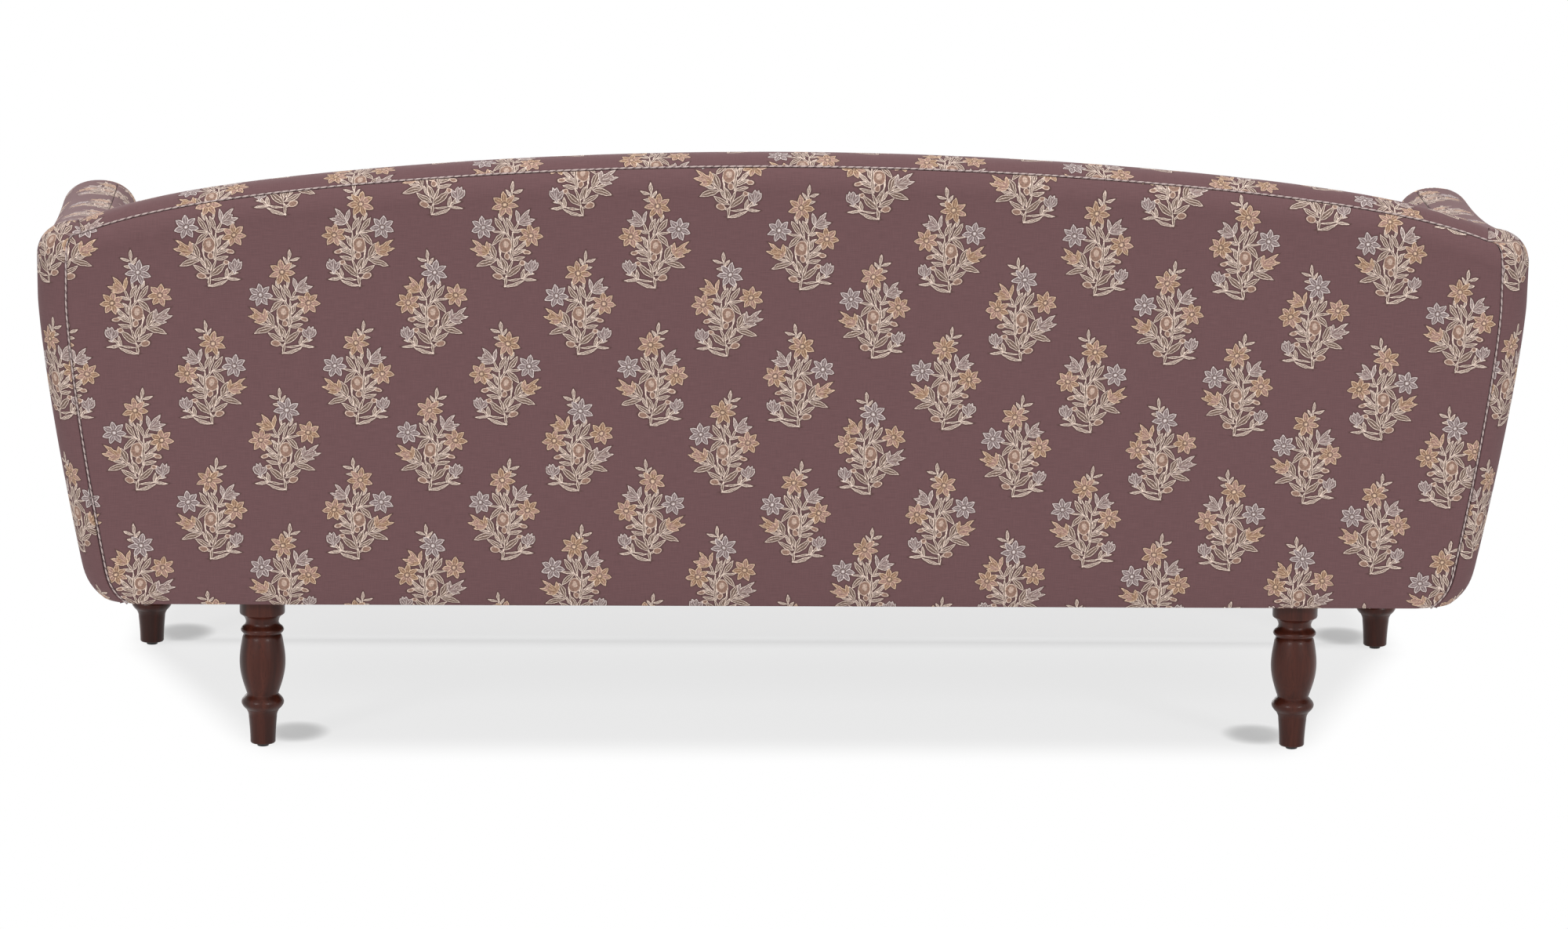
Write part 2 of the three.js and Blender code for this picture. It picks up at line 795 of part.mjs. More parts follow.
// The arm board lies flat under the rolled padding, from the front post to the back post.
function armBoard() {
  const endY = frameBackY(shoulderHeight - capRise - armBoardThickness) - postDepth - fitGap;
  const at = (side, along, drop) => {
    const y = lerp(railFaceY, endY, along);
    const z = armRidge(y) - capRise - drop;
    const inner = armInnerX(z, y) + armFrameInset;
    return new THREE.Vector3(side ? frameSideX(z, y) - boardClearance : inner, y, z);
  };
  return slab([0, 1], armShares, (side, along) => at(side, along, 0),
    (side, along) => at(side, along, armBoardThickness));
}

const sideRailInset = sideRailThickness + frameFit;

function sideRailInnerX(y) {
  return sideX(railTop, y) - sideRailInset;
}

function sideRail() {
  const startY = railBackY + fitGap;
  const endY = backY(frameBottom) - cornerRadius;
  const heights = frameHeights(frameBottom, railTop);
  const at = (along, z, inner) => {
    const y = lerp(startY, endY, along);
    return new THREE.Vector3(inner ? sideRailInnerX(y) : frameSideX(z, y), y, z);
  };
  return slab([0, 1], heights, (along, z) => at(along, z, false), (along, z) => at(along, z, true));
}

function backPostOuterX(z) {
  return sideX(z, shoulderY) - cornerRadius;
}

function railBottomAt(x) {
  const out = Math.min(1, Math.abs(x) / shoulderX);
  return backRidge(x) - capRise - lerp(topRailMiddleHeight, topRailEndHeight, out ** 2);
}

function backPost() {
  const heights = frameHeights(frameBottom, armFrontHeight - capRise - armBoardThickness * 2);
  const point = (side, row, depth) => {
    const x = backPostOuterX(row || railBottomAt(shoulderX)) - (side ? 0 : backPostWidth);
    const z = row || railBottomAt(x) - railSeatGap;
    return new THREE.Vector3(x, frameBackY(z) - depth, z);
  };
  return slab([0, 1], [...heights, 0], (side, row) => point(side, row, 0),
    (side, row) => point(side, row, postDepth));
}

// The top rail is sawn to the hump of the back.
function topRail() {
  const endX = backPostOuterX(railBottomAt(shoulderX));
  const at = (u, level, depth) => {
    const x = u * endX;
    const z = lerp(railBottomAt(x), backRidge(x) - capRise, level);
    return new THREE.Vector3(x, frameBackY(z) - depth, z);
  };
  return slab(crownShares, [0, 1], (u, level) => at(u, level, 0), (u, level) => at(u, level, postDepth));
}

function leaningBoard(lowX, highX, lowZ, highZ) {
  const at = (side, level, depth) => {
    const x = lerp(lowX, highX, side);
    const z = level ? highZ(x) : lowZ;
    return new THREE.Vector3(x, frameBackY(z) - depth, z);
  };
  return slab([0, 0.5, 1], [0, 1], (side, level) => at(side, level, 0),
    (side, level) => at(side, level, postDepth));
}

addPair("arm_post", armPost(), "hardwood");
addPair("arm_board", armBoard(), "hardwood");
addPair("side_rail", sideRail(), "hardwood");
addPair("back_post", backPost(), "hardwood");
addPart("top_rail", topRail(), "hardwood");

const frontRailHalf = postInnerX - fitGap;
addPart("front_rail", box(new THREE.Vector3(-frontRailHalf, railFaceY, frameBottom),
  new THREE.Vector3(frontRailHalf, railBackY, railTop)), "hardwood");

const postFootInnerX = backPostOuterX(frameBottom) - backPostWidth;
const rearRailHalf = postFootInnerX - fitGap;

function rearRail() {
  const heights = frameHeights(frameBottom, railTop);
  const innerY = frameBackY(frameBottom) - railThickness;
  return slab([-rearRailHalf, rearRailHalf], heights,
    (x, z) => new THREE.Vector3(x, frameBackY(z), z), (x, z) => new THREE.Vector3(x, innerY, z));
}

addPart("rear_rail", rearRail(), "hardwood");

const tackRailBottom = deckHeight + tackRailLift;
const tackRailTop = tackRailBottom + tackRailHeight;
const tackRailHalf = backPostOuterX(tackRailBottom) - backPostWidth - fitGap;
addPart("back_tack_rail", leaningBoard(-tackRailHalf, tackRailHalf, tackRailBottom, () => tackRailTop),
  "hardwood");
addPart("back_upright", leaningBoard(-uprightWidth / 2, uprightWidth / 2, tackRailTop + fitGap,
  (x) => railBottomAt(x) - railSeatGap), "hardwood");

// Braces run from the front rail to the rear rail and carry the rear legs.

const rearLegX = rearHalfWidth - rearLegEndInset;
const frontLegX = rearHalfWidth - frontLegEndInset;
const rearLegY = backBaseY - rearLegSetback;
const frontLegY = frontY + frontLegSetback;
const rearRailInnerY = frameBackY(frameBottom) - railThickness;
const boltHoleRadius = boltRadius + boltClearance;

function seatBrace() {
  const outline = [
    new THREE.Vector2(rearLegX - braceWidth / 2, railBackY + fitGap),
    new THREE.Vector2(rearLegX + braceWidth / 2, railBackY + fitGap),
    new THREE.Vector2(rearLegX + braceWidth / 2, rearRailInnerY - fitGap),
    new THREE.Vector2(rearLegX - braceWidth / 2, rearRailInnerY - fitGap),
  ];
  const hole = roundHole(rearLegX, rearLegY, boltHoleRadius);
  return plate(outline, [hole], frameBottom, frameBottom + braceThickness);
}

addPair("seat_brace", seatBrace(), "hardwood");

// A corner block fills the angle between two rails; the front ones take the legs' bolts.
function cornerBlock(cornerX, cornerY, towardY, hole) {
  const outline = [
    new THREE.Vector2(cornerX, cornerY),
    new THREE.Vector2(cornerX, cornerY + towardY * cornerBlockLength),
    new THREE.Vector2(cornerX - cornerBlockTip, cornerY + towardY * cornerBlockLength),
    new THREE.Vector2(cornerX - cornerBlockLength, cornerY + towardY * cornerBlockTip),
    new THREE.Vector2(cornerX - cornerBlockLength, cornerY),
  ];
  if (towardY < 0) outline.reverse();
  return plate(outline, hole, frameBottom, frameBottom + cornerBlockHeight);
}

const frontBlockY = railBackY + fitGap;
const frontBlockX = sideRailInnerX(frontBlockY + cornerBlockLength) - fitGap;
const rearBlockY = frameBackY(frameBottom) - postDepth - fitGap;
const rearBlockX = sideRailInnerX(rearBlockY) - fitGap;
const frontHole = roundHole(frontLegX, frontLegY, boltHoleRadius);
addPair("corner_block_front", cornerBlock(frontBlockX, frontBlockY, 1, [frontHole]), "hardwood");
addPair("corner_block_rear", cornerBlock(rearBlockX, rearBlockY, -1, []), "hardwood");

// Turned legs, each with its threaded bolt, its steel plate and its nylon glide

const plateTop = frameBottom - fitGap;
const legTop = plateTop - plateThickness - fitGap;
const footBottom = gliderHeight + fitGap;

// A ring or bulb of the turning: half a sine wave standing on a straight line between two radii.
function swell(lowZ, highZ, lowRadius, highRadius, rise, count) {
  return steps(count).map((share) => new THREE.Vector2(
    lerp(lowRadius, highRadius, share) + rise * Math.sin(Math.PI * share), lerp(lowZ, highZ, share)));
}

// Heights of the turning as shares of the leg's height
const turningShares = {
  ankle: 0.202, ringLow: 0.25, ringHigh: 0.351, bulbLow: 0.365, bulbHigh: 0.72, filletLow: 0.74,
  torusLow: 0.762, torusHigh: 0.821, neck: 0.843, flare: 0.884, flange: 0.908,
};

// Radii of the turning, and how far its ring, bulb and torus swell
const footRadius = 18;
const ankleRadius = 20.4;
const ringRadius = 23.4;
const ringRise = 7.2;
const bulbFootRadius = 23;
const bulbTopRadius = 29.5;
const bulbRise = 6.4;
const filletRadius = 28.8;
const torusRadius = 26;
const torusRise = 5;
const neckRadius = 23.6;
const flareRadius = 27.2;

function leg(x, y) {
  const at = (name) => turningShares[name] * legTop;
  const point = (radius, name) => new THREE.Vector2(radius, at(name));
  const holeRadius = nailRadius + fitGap;
  const holeTop = footBottom + nailLength + boltClearance;
  const profile = [
    new THREE.Vector2(0, holeTop),
    new THREE.Vector2(holeRadius, holeTop),
    new THREE.Vector2(holeRadius, footBottom),
    new THREE.Vector2(footRadius, footBottom),
    point(ankleRadius, "ankle"),
    ...swell(at("ringLow"), at("ringHigh"), ringRadius, ringRadius, ringRise, 4),
    ...swell(at("bulbLow"), at("bulbHigh"), bulbFootRadius, bulbTopRadius, bulbRise, 6),
    point(filletRadius, "filletLow"),
    ...swell(at("torusLow"), at("torusHigh"), torusRadius, torusRadius, torusRise, 4),
    point(neckRadius, "neck"),
    point(flareRadius, "flare"),
    point(legFlangeRadius, "flange"),
    new THREE.Vector2(legFlangeRadius, legTop),
    new THREE.Vector2(boltRadius, legTop),
    new THREE.Vector2(boltRadius, legTop + boltLength),
    new THREE.Vector2(0, legTop + boltLength),
  ];
  return turned(profile, x, y, 14);
}

function turned(profile, x, y, segments) {
  const lathe = new THREE.LatheGeometry(profile, segments);
  lathe.rotateX(Math.PI / 2);
  lathe.translate(x, y, 0);
  return outward(welded(lathe));
}

// Turns a closed mesh's faces out if they face in.
function outward(geometry) {
  const position = geometry.getAttribute("position");
  const points = Array.from({ length: position.count }, (_, i) =>
    new THREE.Vector3().fromBufferAttribute(position, i));
  const index = geometry.getIndex().array;
  const faces = Array.from({ length: index.length / 3 }, (_, i) => Array.from(index.slice(i * 3, i * 3 + 3)));
  return closedGeometry(points, faces);
}

function glide(x, y) {
  const profile = [
    new THREE.Vector2(0, 0),
    new THREE.Vector2(gliderRadius, 0),
    new THREE.Vector2(gliderRadius, gliderHeight),
    new THREE.Vector2(nailRadius, gliderHeight),
    new THREE.Vector2(nailRadius, gliderHeight + nailLength),
    new THREE.Vector2(0, gliderHeight + nailLength),
  ];
  return turned(profile, x, y, 12);
}

function legPlate(x, y) {
  const outline = squareOutline(x, y, plateSize);
  return plate(outline, [roundHole(x, y, boltHoleRadius)], plateTop - plateThickness, plateTop);
}

for (const [place, x, y] of [["front", frontLegX, frontLegY], ["rear", rearLegX, rearLegY]]) {
  addPair(`leg_${place}`, leg(x, y), "leg");
  addPair(`leg_plate_${place}`, legPlate(x, y), "steel");
  addPair(`glide_${place}`, glide(x, y), "nylon");
}

// Seat: springs, felt, deck cloth and the black cloth below

const rearSpringY = rearRailInnerY + springEndLap;
const frontSpringY = railBackY - springEndLap;
const springRestZ = railTop + fitGap + springWireRadius;

// A sinuous spring: bends from side to side, bowed up between the rails.
function springStrand(x) {
  const stations = springBends * 3;
  const points = steps(stations).map((share) => {
    const wave = Math.sin(Math.PI * springBends * share);
    const sweep = springHalfWidth * Math.sign(wave) * Math.abs(wave) ** springBendShare;
    const bow = springCrown * Math.sin(Math.PI * share);
    return new THREE.Vector3(x + sweep, lerp(frontSpringY, rearSpringY, share), springRestZ + bow);
  });
  return wireAlong(points, springWireRadius, 4);
}

// Tie wires cross the springs at a third and two thirds of their length and join them into one set.
function tieWire(share, halfLength) {
  const y = lerp(frontSpringY, rearSpringY, share);
  const z = springRestZ + springCrown * Math.sin(Math.PI * share);
  const ends = [-halfLength, halfLength].map((x) => new THREE.Vector3(x, y, z));
  return wireAlong(ends, tieWireRadius, 4);
}

function seatSprings() {
  const reach = rearRailHalf - springHalfWidth * 2;
  const strands = steps(springCount - 1, -reach, reach).map(springStrand);
  const ties = [1 / 3, 2 / 3].map((share) => tieWire(share, reach + springHalfWidth / 2));
  return fused([...ties, ...strands]);
}

addPart("seat_springs", seatSprings(), "steel");

// Jute webbing is stretched over the front of the back frame; it holds the padding.
function backWebbing() {
  const lowZ = tackRailTop - webbingLap;
  const strip = (lowX, highX, low, high) => box(new THREE.Vector3(lowX, -webbingThickness, low),
    new THREE.Vector3(highX, 0, high));
  const reach = tackRailHalf - webbingWidth;
  const slant = Math.cos(degToRad(backLeanAngle));
  const uprights = steps(webbingCount - 1, -reach, reach).map((x) => {
    const high = railBottomAt(Math.abs(x) + webbingWidth / 2) + webbingLap;
    return strip(x - webbingWidth / 2, x + webbingWidth / 2, 0, (high - lowZ) / slant);
  });
  const rowReach = tackRailHalf + backPostWidth / 2;
  const rows = [1 / 3, 2 / 3].map((share) => {
    const z = lerp(tackRailTop, railBottomAt(shoulderX), share) - lowZ;
    return strip(-rowReach, rowReach, z - webbingWidth / 2, z + webbingWidth / 2);
  });
  const webbing = fused([...uprights, ...rows]);
  webbing.rotateX(-degToRad(backLeanAngle));
  webbing.translate(0, frameBackY(lowZ) - postDepth - fitGap, lowZ);
  return webbing;
}

addPart("back_webbing", backWebbing(), "webbing");

const deckPadTop = deckHeight - clothThickness - fitGap;
const deckPadBottom = deckPadTop - deckPadThickness;
const deckHalfX = frontInnerX - armSplay + armPadThickness / 2;
const deckRearY = frameBackY(deckPadBottom) - postDepth - fitGap;
const edgeRollY = railFaceY + fitGap;

// Felt over the springs, with a roll along the front rail.
function deckPad() {
  const profile = [
    [edgeRollY, railTop + fitGap], [edgeRollY + edgeRollWidth, railTop + fitGap],
    [edgeRollY + edgeRollWidth, deckPadBottom], [deckRearY, deckPadBottom],
    [deckRearY, deckPadTop], [frontY + frontEdgeRadius, deckPadTop],
    [edgeRollY, deckPadTop - frontEdgeRadius],
  ];
  const shape = new THREE.Shape(profile.map(([y, z]) => new THREE.Vector2(y, z)));
  const geometry = new THREE.ExtrudeGeometry(shape, { depth: 2 * deckHalfX, bevelEnabled: false });
  geometry.rotateX(Math.PI / 2);
  geometry.rotateZ(Math.PI / 2);
  geometry.translate(-deckHalfX, 0, 0);
  return welded(geometry);
}

addPart("deck_pad", deckPad(), "felt");

const flangeEndY = frontY + borderFlange;
addPart("deck_cover", box(new THREE.Vector3(-deckHalfX, flangeEndY + coverFit, deckHeight - clothThickness),
  new THREE.Vector3(deckHalfX, deckRearY, deckHeight)), "printedCloth");

const dustCoverTop = frameBottom - coverFit;

// The black cloth under the seat stops short of the edges and leaves the leg plates free.
function dustCover() {
  const notchX = frontLegX - plateSize / 2 - coverFit;
  const notchY = frontLegY + plateSize / 2 + coverFit;
  const halfX = sideX(undersideHeight, shoulderY) - dustHem;
  const rearY = backY(undersideHeight) - dustHem;
  const half = [[notchX, railFaceY + overrun], [notchX, notchY], [halfX, notchY],
    [halfX, rearY - cornerRadius], [halfX - cornerRadius, rearY]];
  const other = half.map(([x, y]) => [-x, y]).reverse();
  const outline = [...half, ...other].map(([x, y]) => new THREE.Vector2(x, y));
  const sheet = solidOf(plate(outline, [], undersideHeight + fitGap, dustCoverTop));
  const cutHalf = plateSize / 2 + coverFit;
  const cuts = [-1, 1].map((side) => solidOf(box(
    new THREE.Vector3(side * rearLegX - cutHalf, rearLegY - cutHalf, undersideHeight - overrun),
    new THREE.Vector3(side * rearLegX + cutHalf, rearLegY + cutHalf, dustCoverTop + overrun))));
  return geometryOf(cuts.reduce((rest, cut) => rest.subtract(cut), sheet));
}

addPart("dust_cover", dustCover(), "blackCloth");

// Seat cushions: a foam core in a zipped cover

const cushionInnerX = cushionGap / 2;
const cushionOuterX = armInnerX(deckHeight, seatBackY) - cushionGap;
const cushionWidth = cushionOuterX - cushionInnerX;
const cushionCentreX = (cushionOuterX + cushionInnerX) / 2;
const cushionRearY = seatBackY - cushionGap - lumbarSwell / 2;
const cushionFrontY = frontY + cushionFrontSet;
const cushionBottom = deckHeight + fitGap;
const cushionMiddleZ = cushionBottom + cushionBelly + cushionThickness / 2;

const pillowAcross = [0, 0.03, 0.1, 0.22, 0.5, 0.78, 0.9, 0.97, 1];
const pillowAlong = [0, 0.06, 0.2, 0.4, 0.6, 0.8, 0.94, 1];

// Section of the cushion front to back: its rim, crown and belly at one place across it.
function cushionLoop(across, inset) {
  const half = cushionThickness / 2 - inset;
  const crownAcross = Math.sin(Math.PI * across) ** pillowPowerShare;
  const ends = Math.min(across, 1 - across) * cushionWidth;
  const rounding = ends < cushionCornerRadius
    ? cushionCornerRadius - Math.sqrt(cushionCornerRadius ** 2 - (cushionCornerRadius - ends) ** 2) : 0;
  const drawn = cushionDrawIn * Math.sin(Math.PI * across);
  const frontEdge = cushionFrontY + drawn + rounding + inset;
  const rearEdge = cushionRearY - rounding / 2 - inset;
  const xAt = (y) => lerp(cushionInnerX + inset, armInnerX(deckHeight, y) - cushionGap - inset, across);
  const at = (along, side) => {
    const y = lerp(frontEdge, rearEdge, along);
    const swellHere = crownAcross * Math.sin(Math.PI * along) ** pillowPowerShare;
    const bulge = side > 0 ? cushionCrown : cushionBelly;
    const draw = cushionDrawIn * Math.sin(Math.PI * along) * (0.5 - across) * 2;
    const z = cushionMiddleZ + side * (half + bulge * swellHere);
    return new THREE.Vector3(xAt(y) + draw, y, z);
  };
  const zipHalf = zipHeight / 2 + fitGap;
  const rear = [1, -1].map((side) => new THREE.Vector3(xAt(rearEdge), rearEdge, cushionMiddleZ + side * zipHalf));
  return [...pillowAlong.map((along) => at(along, 1)), ...rear,
    ...pillowAlong.map((along) => at(along, -1)).reverse()];
}

function cushionStations() {
  const reach = zipLength / 2 + cushionClothThickness + fitGap;
  const slot = [-1, 1].map((side) => (cushionWidth / 2 + side * reach) / cushionWidth);
  return [...pillowAcross, ...slot].sort((a, b) => a - b);
}

// Closes a stack of loops round a body. The ends are strips between the upper and the lower half loop.
function stacked(stations, loopAt) {
  const loops = stations.map(loopAt);
  const count = loops[0].length;
  const faces = [];
  for (let i = 0; i < loops.length - 1; i += 1) {
    for (let j = 0; j < count; j += 1) {
      const [a, b] = [i * count + j, i * count + ((j + 1) % count)];
      faces.push([a, b, b + count], [a, b + count, a + count]);
    }
  }
  for (const [start, turn] of [[0, 1], [(loops.length - 1) * count, -1]]) {
    for (let j = 0; j < count / 2 - 1; j += 1) {
      const quad = [start + j, start + j + 1, start + count - 2 - j, start + count - 1 - j];
      const [a, b, c, d] = turn > 0 ? quad.reverse() : quad;
      faces.push([a, b, c], [a, c, d]);
    }
  }
  return { points: loops.flat(), faces: faces.filter(([a, b, c]) => a !== b && b !== c && c !== a) };
}

function cushionCore() {
  const surface = stacked(pillowAcross, (across) => cushionLoop(across, cushionClothThickness + coverFit));
  return closedGeometry(surface.points, surface.faces);
}

function cushionCover() {
  const stations = cushionStations();
  const surface = stacked(stations, (across) => cushionLoop(across, 0));
  const inner = stacked(stations, (across) => cushionLoop(across, cushionClothThickness));
  const count = pillowAlong.length * 2 + 2;
  const [slotStart, slotEnd] = stations.flatMap((share, i) => (pillowAcross.includes(share) ? [] : [i]));
  const upper = pillowAlong.length;
  const inSlot = (corner) => {
    const station = Math.floor(corner / count);
    const place = corner % count;
    return station >= slotStart && station <= slotEnd && (place === upper || place === upper + 1);
  };
  const faces = surface.faces.filter((face) => !face.every(inSlot));
  return layered({ points: surface.points, faces }, inner.points);
}

// The zip closes the slot in the rear edge; its teeth stand up in the middle of the tape.
function zip() {
  const rearY = cushionRearY;
  const tape = box(
    new THREE.Vector3(cushionCentreX - zipLength / 2, rearY - cushionClothThickness, cushionMiddleZ - zipHeight / 2),
    new THREE.Vector3(cushionCentreX + zipLength / 2, rearY, cushionMiddleZ + zipHeight / 2));
  const teeth = box(
    new THREE.Vector3(cushionCentreX - zipLength / 2, rearY - fitGap, cushionMiddleZ - zipTeethWidth / 2),
    new THREE.Vector3(cushionCentreX + zipLength / 2, rearY + zipTeethRise, cushionMiddleZ + zipTeethWidth / 2));
  return fused([tape, teeth]);
}

// The slider straddles the teeth; its pull hangs from it.
function zipSlider() {
  const startX = cushionCentreX - zipLength / 2 + fitGap;
  const y = cushionRearY + fitGap;
  const body = box(new THREE.Vector3(startX, y, cushionMiddleZ - sliderWidth / 2),
    new THREE.Vector3(startX + sliderLength, y + sliderHeight, cushionMiddleZ + sliderWidth / 2));
  const groove = box(
    new THREE.Vector3(startX - overrun, y - overrun, cushionMiddleZ - zipTeethWidth / 2 - fitGap),
    new THREE.Vector3(startX + sliderLength + overrun, y + zipTeethRise,
      cushionMiddleZ + zipTeethWidth / 2 + fitGap));
  const middle = startX + sliderLength / 2;
  const pull = box(
    new THREE.Vector3(middle - sliderHeight / 2, y + sliderHeight - fitGap, cushionMiddleZ - pullLength),
    new THREE.Vector3(middle + sliderHeight / 2, y + sliderHeight + pullThickness, cushionMiddleZ));
  const solid = solidOf(body).subtract(solidOf(groove)).add(solidOf(pull));
  return geometryOf(solid);
}

addPair("cushion_core", cushionCore(), "foam");
addPair("cushion_cover", cushionCover(), "printedCloth");
addPair("cushion_zip", zip(), "zipTape");
addPair("zip_slider", zipSlider(), "steel");

export default sofa;
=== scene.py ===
import math

import bmesh
import bpy
import numpy as np
from mathutils import Matrix, Vector


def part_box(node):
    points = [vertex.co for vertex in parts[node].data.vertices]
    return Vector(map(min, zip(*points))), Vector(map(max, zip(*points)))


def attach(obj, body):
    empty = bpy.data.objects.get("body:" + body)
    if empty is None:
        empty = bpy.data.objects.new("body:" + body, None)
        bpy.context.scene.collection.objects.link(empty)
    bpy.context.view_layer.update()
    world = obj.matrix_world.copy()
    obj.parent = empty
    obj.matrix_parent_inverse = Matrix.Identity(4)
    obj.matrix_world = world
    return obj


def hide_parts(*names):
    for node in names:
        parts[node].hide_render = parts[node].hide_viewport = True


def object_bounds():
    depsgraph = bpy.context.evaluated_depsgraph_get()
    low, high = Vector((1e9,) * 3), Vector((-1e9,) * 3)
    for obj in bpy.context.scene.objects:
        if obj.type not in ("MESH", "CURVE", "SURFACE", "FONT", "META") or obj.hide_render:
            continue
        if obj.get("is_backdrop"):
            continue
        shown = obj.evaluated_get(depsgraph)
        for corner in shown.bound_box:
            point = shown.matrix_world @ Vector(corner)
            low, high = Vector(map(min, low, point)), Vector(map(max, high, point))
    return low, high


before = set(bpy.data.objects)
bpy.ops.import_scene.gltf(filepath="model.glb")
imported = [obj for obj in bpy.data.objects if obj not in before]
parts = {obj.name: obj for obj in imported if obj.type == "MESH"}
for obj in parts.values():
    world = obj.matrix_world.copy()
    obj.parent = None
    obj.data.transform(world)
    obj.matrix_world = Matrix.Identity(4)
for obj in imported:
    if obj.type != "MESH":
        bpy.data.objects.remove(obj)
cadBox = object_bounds()
scene = bpy.context.scene
print("frame loaded:", len(parts), "parts")

# Metres, +Z up, the seat faces -Y. "left" is the sitter's left, towards +X.
camera = {
    "picture": (2000, 1185), "focal": 7879.35,  # pixels
    "place": (0.28966, 8.96249, 2.10411),
    "pitch": 10.9916, "yaw": -1.9317, "roll": 0.6163,  # degrees
}


def placeCamera():
    pitch, yaw, roll = (math.radians(camera[k]) for k in ("pitch", "yaw", "roll"))
    ahead = Vector((math.sin(yaw), -math.cos(yaw), 0))
    right = Vector((-math.cos(yaw), -math.sin(yaw), 0))
    up = Vector((0, 0, 1))
    aim = ahead * math.cos(pitch) - up * math.sin(pitch)
    top = up * math.cos(pitch) + ahead * math.sin(pitch)
    right, top = (right * math.cos(roll) + top * math.sin(roll), top * math.cos(roll) - right * math.sin(roll))
    data = bpy.data.cameras.new("photoCamera")
    data.sensor_width = 36
    data.lens = camera["focal"] / camera["picture"][0] * data.sensor_width
    data.clip_end = 200
    held = bpy.data.objects.new("photoCamera", data)
    turn = Matrix((right, top, -aim)).transposed().to_4x4()
    held.matrix_world = Matrix.Translation(camera["place"]) @ turn
    scene.collection.objects.link(held)
    scene.camera = held


placeCamera()

# Form of the sofa. The values are the solids' own, but for shoulderDrop and armRise, which follow the
# outline of the hump and the arms more closely, by a few millimetres.

form = {
    "width": 2.166, "depth": 0.86, "crown": 0.881, "underside": 0.218, "deck": 0.342, "armFront": 0.718,
    "wall": 0.115, "capRise": 0.05, "capPower": 2.2, "crownDrop": 0.08, "shoulderDrop": 0.025,
    "shoulderPower": 10, "armSplay": 0.03, "armRise": 1.8, "sideFlare": 0.065, "flarePower": 1.33, "backLean": 9,
    "corner": 0.062, "sideTuck": 0.02, "backTuck": 0.007, "tuckHeight": 0.06, "tuckPower": 3,
    "seatBackReach": 0.14, "lumbar": 0.015, "innerDraw": 0.018, "rail": 0.028,
    "seamLow": 0.034, "seamHigh": 0.046, "seamBend": 0.018, "seamHalf": 0.001,
    "weltShare": 0.25, "armSeamShare": 0.65, "armEdgeShare": 0.07, "backSeamShare": 0.8, "seamGap": 0.002,
    "weltRadius": 0.0012, "crease": 0.0012, "cloth": 0.0012, "roll": 0.0022, "turnIn": 0.011, "armStart": 0.0023,
}
bothSides = ((1, "left"), (-1, "right"))
turnedRows = 5  # rows that a turned-in edge adds to a grid
frontY = -form["depth"] / 2
lean = math.tan(math.radians(form["backLean"]))
baseY = form["depth"] / 2 - lean * (form["crown"] - form["capRise"] - form["underside"])
rearHalf = form["width"] / 2 - form["armSplay"]
shoulderX = rearHalf - form["wall"] / 2
shoulderZ = form["crown"] - form["crownDrop"] - form["shoulderDrop"]
flareTop = min(form["armFront"], shoulderZ) - form["capRise"]
seatBackY = baseY + lean * (form["deck"] - form["underside"]) - form["seatBackReach"] - form["rail"]
tuckTop = form["underside"] + form["tuckHeight"]


def mix(a, b, share):
    return a + (b - a) * share


def stacked(x, y, z):
    return np.stack(np.broadcast_arrays(x, y, z), axis=-1).astype(float)


# A smooth step from 0 to 1.
def eased(share):
    share = np.clip(share, 0, 1)
    return share * share * (3 - 2 * share)


# The lowest band curls in towards the rail, as a power of the height left below the band's top.
def tuckAt(z, depth):
    up = np.clip((z - form["underside"]) / form["tuckHeight"], 0, 1)
    return depth * (1 - up) ** form["tuckPower"]


# Outer back: a leaning plane, less the tuck.
def backY(z):
    return baseY + lean * (z - form["underside"]) - tuckAt(z, form["backTuck"])


shoulderY = float(backY(shoulderZ - form["capRise"])) - form["wall"] / 2


# The arms splay evenly from the shoulders to the front.
def splayedX(y):
    return rearHalf + form["armSplay"] * np.maximum(0, (shoulderY - y) / (shoulderY - frontY))


# Outer side: it leans out with height as a power curve up to the arm, less the tuck.
def sideX(z, y):
    below = (flareTop - np.minimum(z, flareTop)) / (flareTop - form["underside"])
    return splayedX(y) - form["sideFlare"] * below ** form["flarePower"] - tuckAt(z, form["sideTuck"])


# The hump: a parabola over the width, with a high power of the same share for the drop at the shoulders.
def backRidge(x):
    out = np.abs(x) / shoulderX
    return form["crown"] - form["crownDrop"] * out**2 - form["shoulderDrop"] * out ** form["shoulderPower"]


# The arm's crest: level at the front, rising to the shoulder as a power of the way along.
def armRidge(y):
    along = np.clip((y - frontY) / (shoulderY - frontY), 0, 1)
    return mix(form["armFront"], shoulderZ, along ** form["armRise"])


# Rounded top of the wall: half a superellipse; share 0 is its outer foot, 0.5 its crest, 1 its inner foot.
def capAt(share):
    turn, power = np.pi * share, 2 / form["capPower"]
    across = np.sign(np.cos(turn)) * np.abs(np.cos(turn)) ** power
    return form["wall"] * (1 - across) / 2, form["capRise"] * np.abs(np.sin(turn)) ** power


# The same curve the other way: how far in the cap stands at a height over its foot.
def capInset(rise):
    up = np.clip(rise / form["capRise"], 0, 1) ** form["capPower"]
    return form["wall"] * (1 - (1 - up) ** (1 / form["capPower"])) / 2


# Inner back: a straight line from seat to cap foot, with a sine swell at the small of the back.
def backInnerY(x, z):
    foot = backRidge(x) - form["capRise"]
    footY = backY(foot) - form["wall"]
    up = (z - form["deck"]) / (foot - form["deck"])
    wall = mix(seatBackY, footY, up) - form["lumbar"] * np.sin(np.pi * np.clip(up, 0, 1))
    return np.where(z > foot, footY + capInset(z - foot), wall)


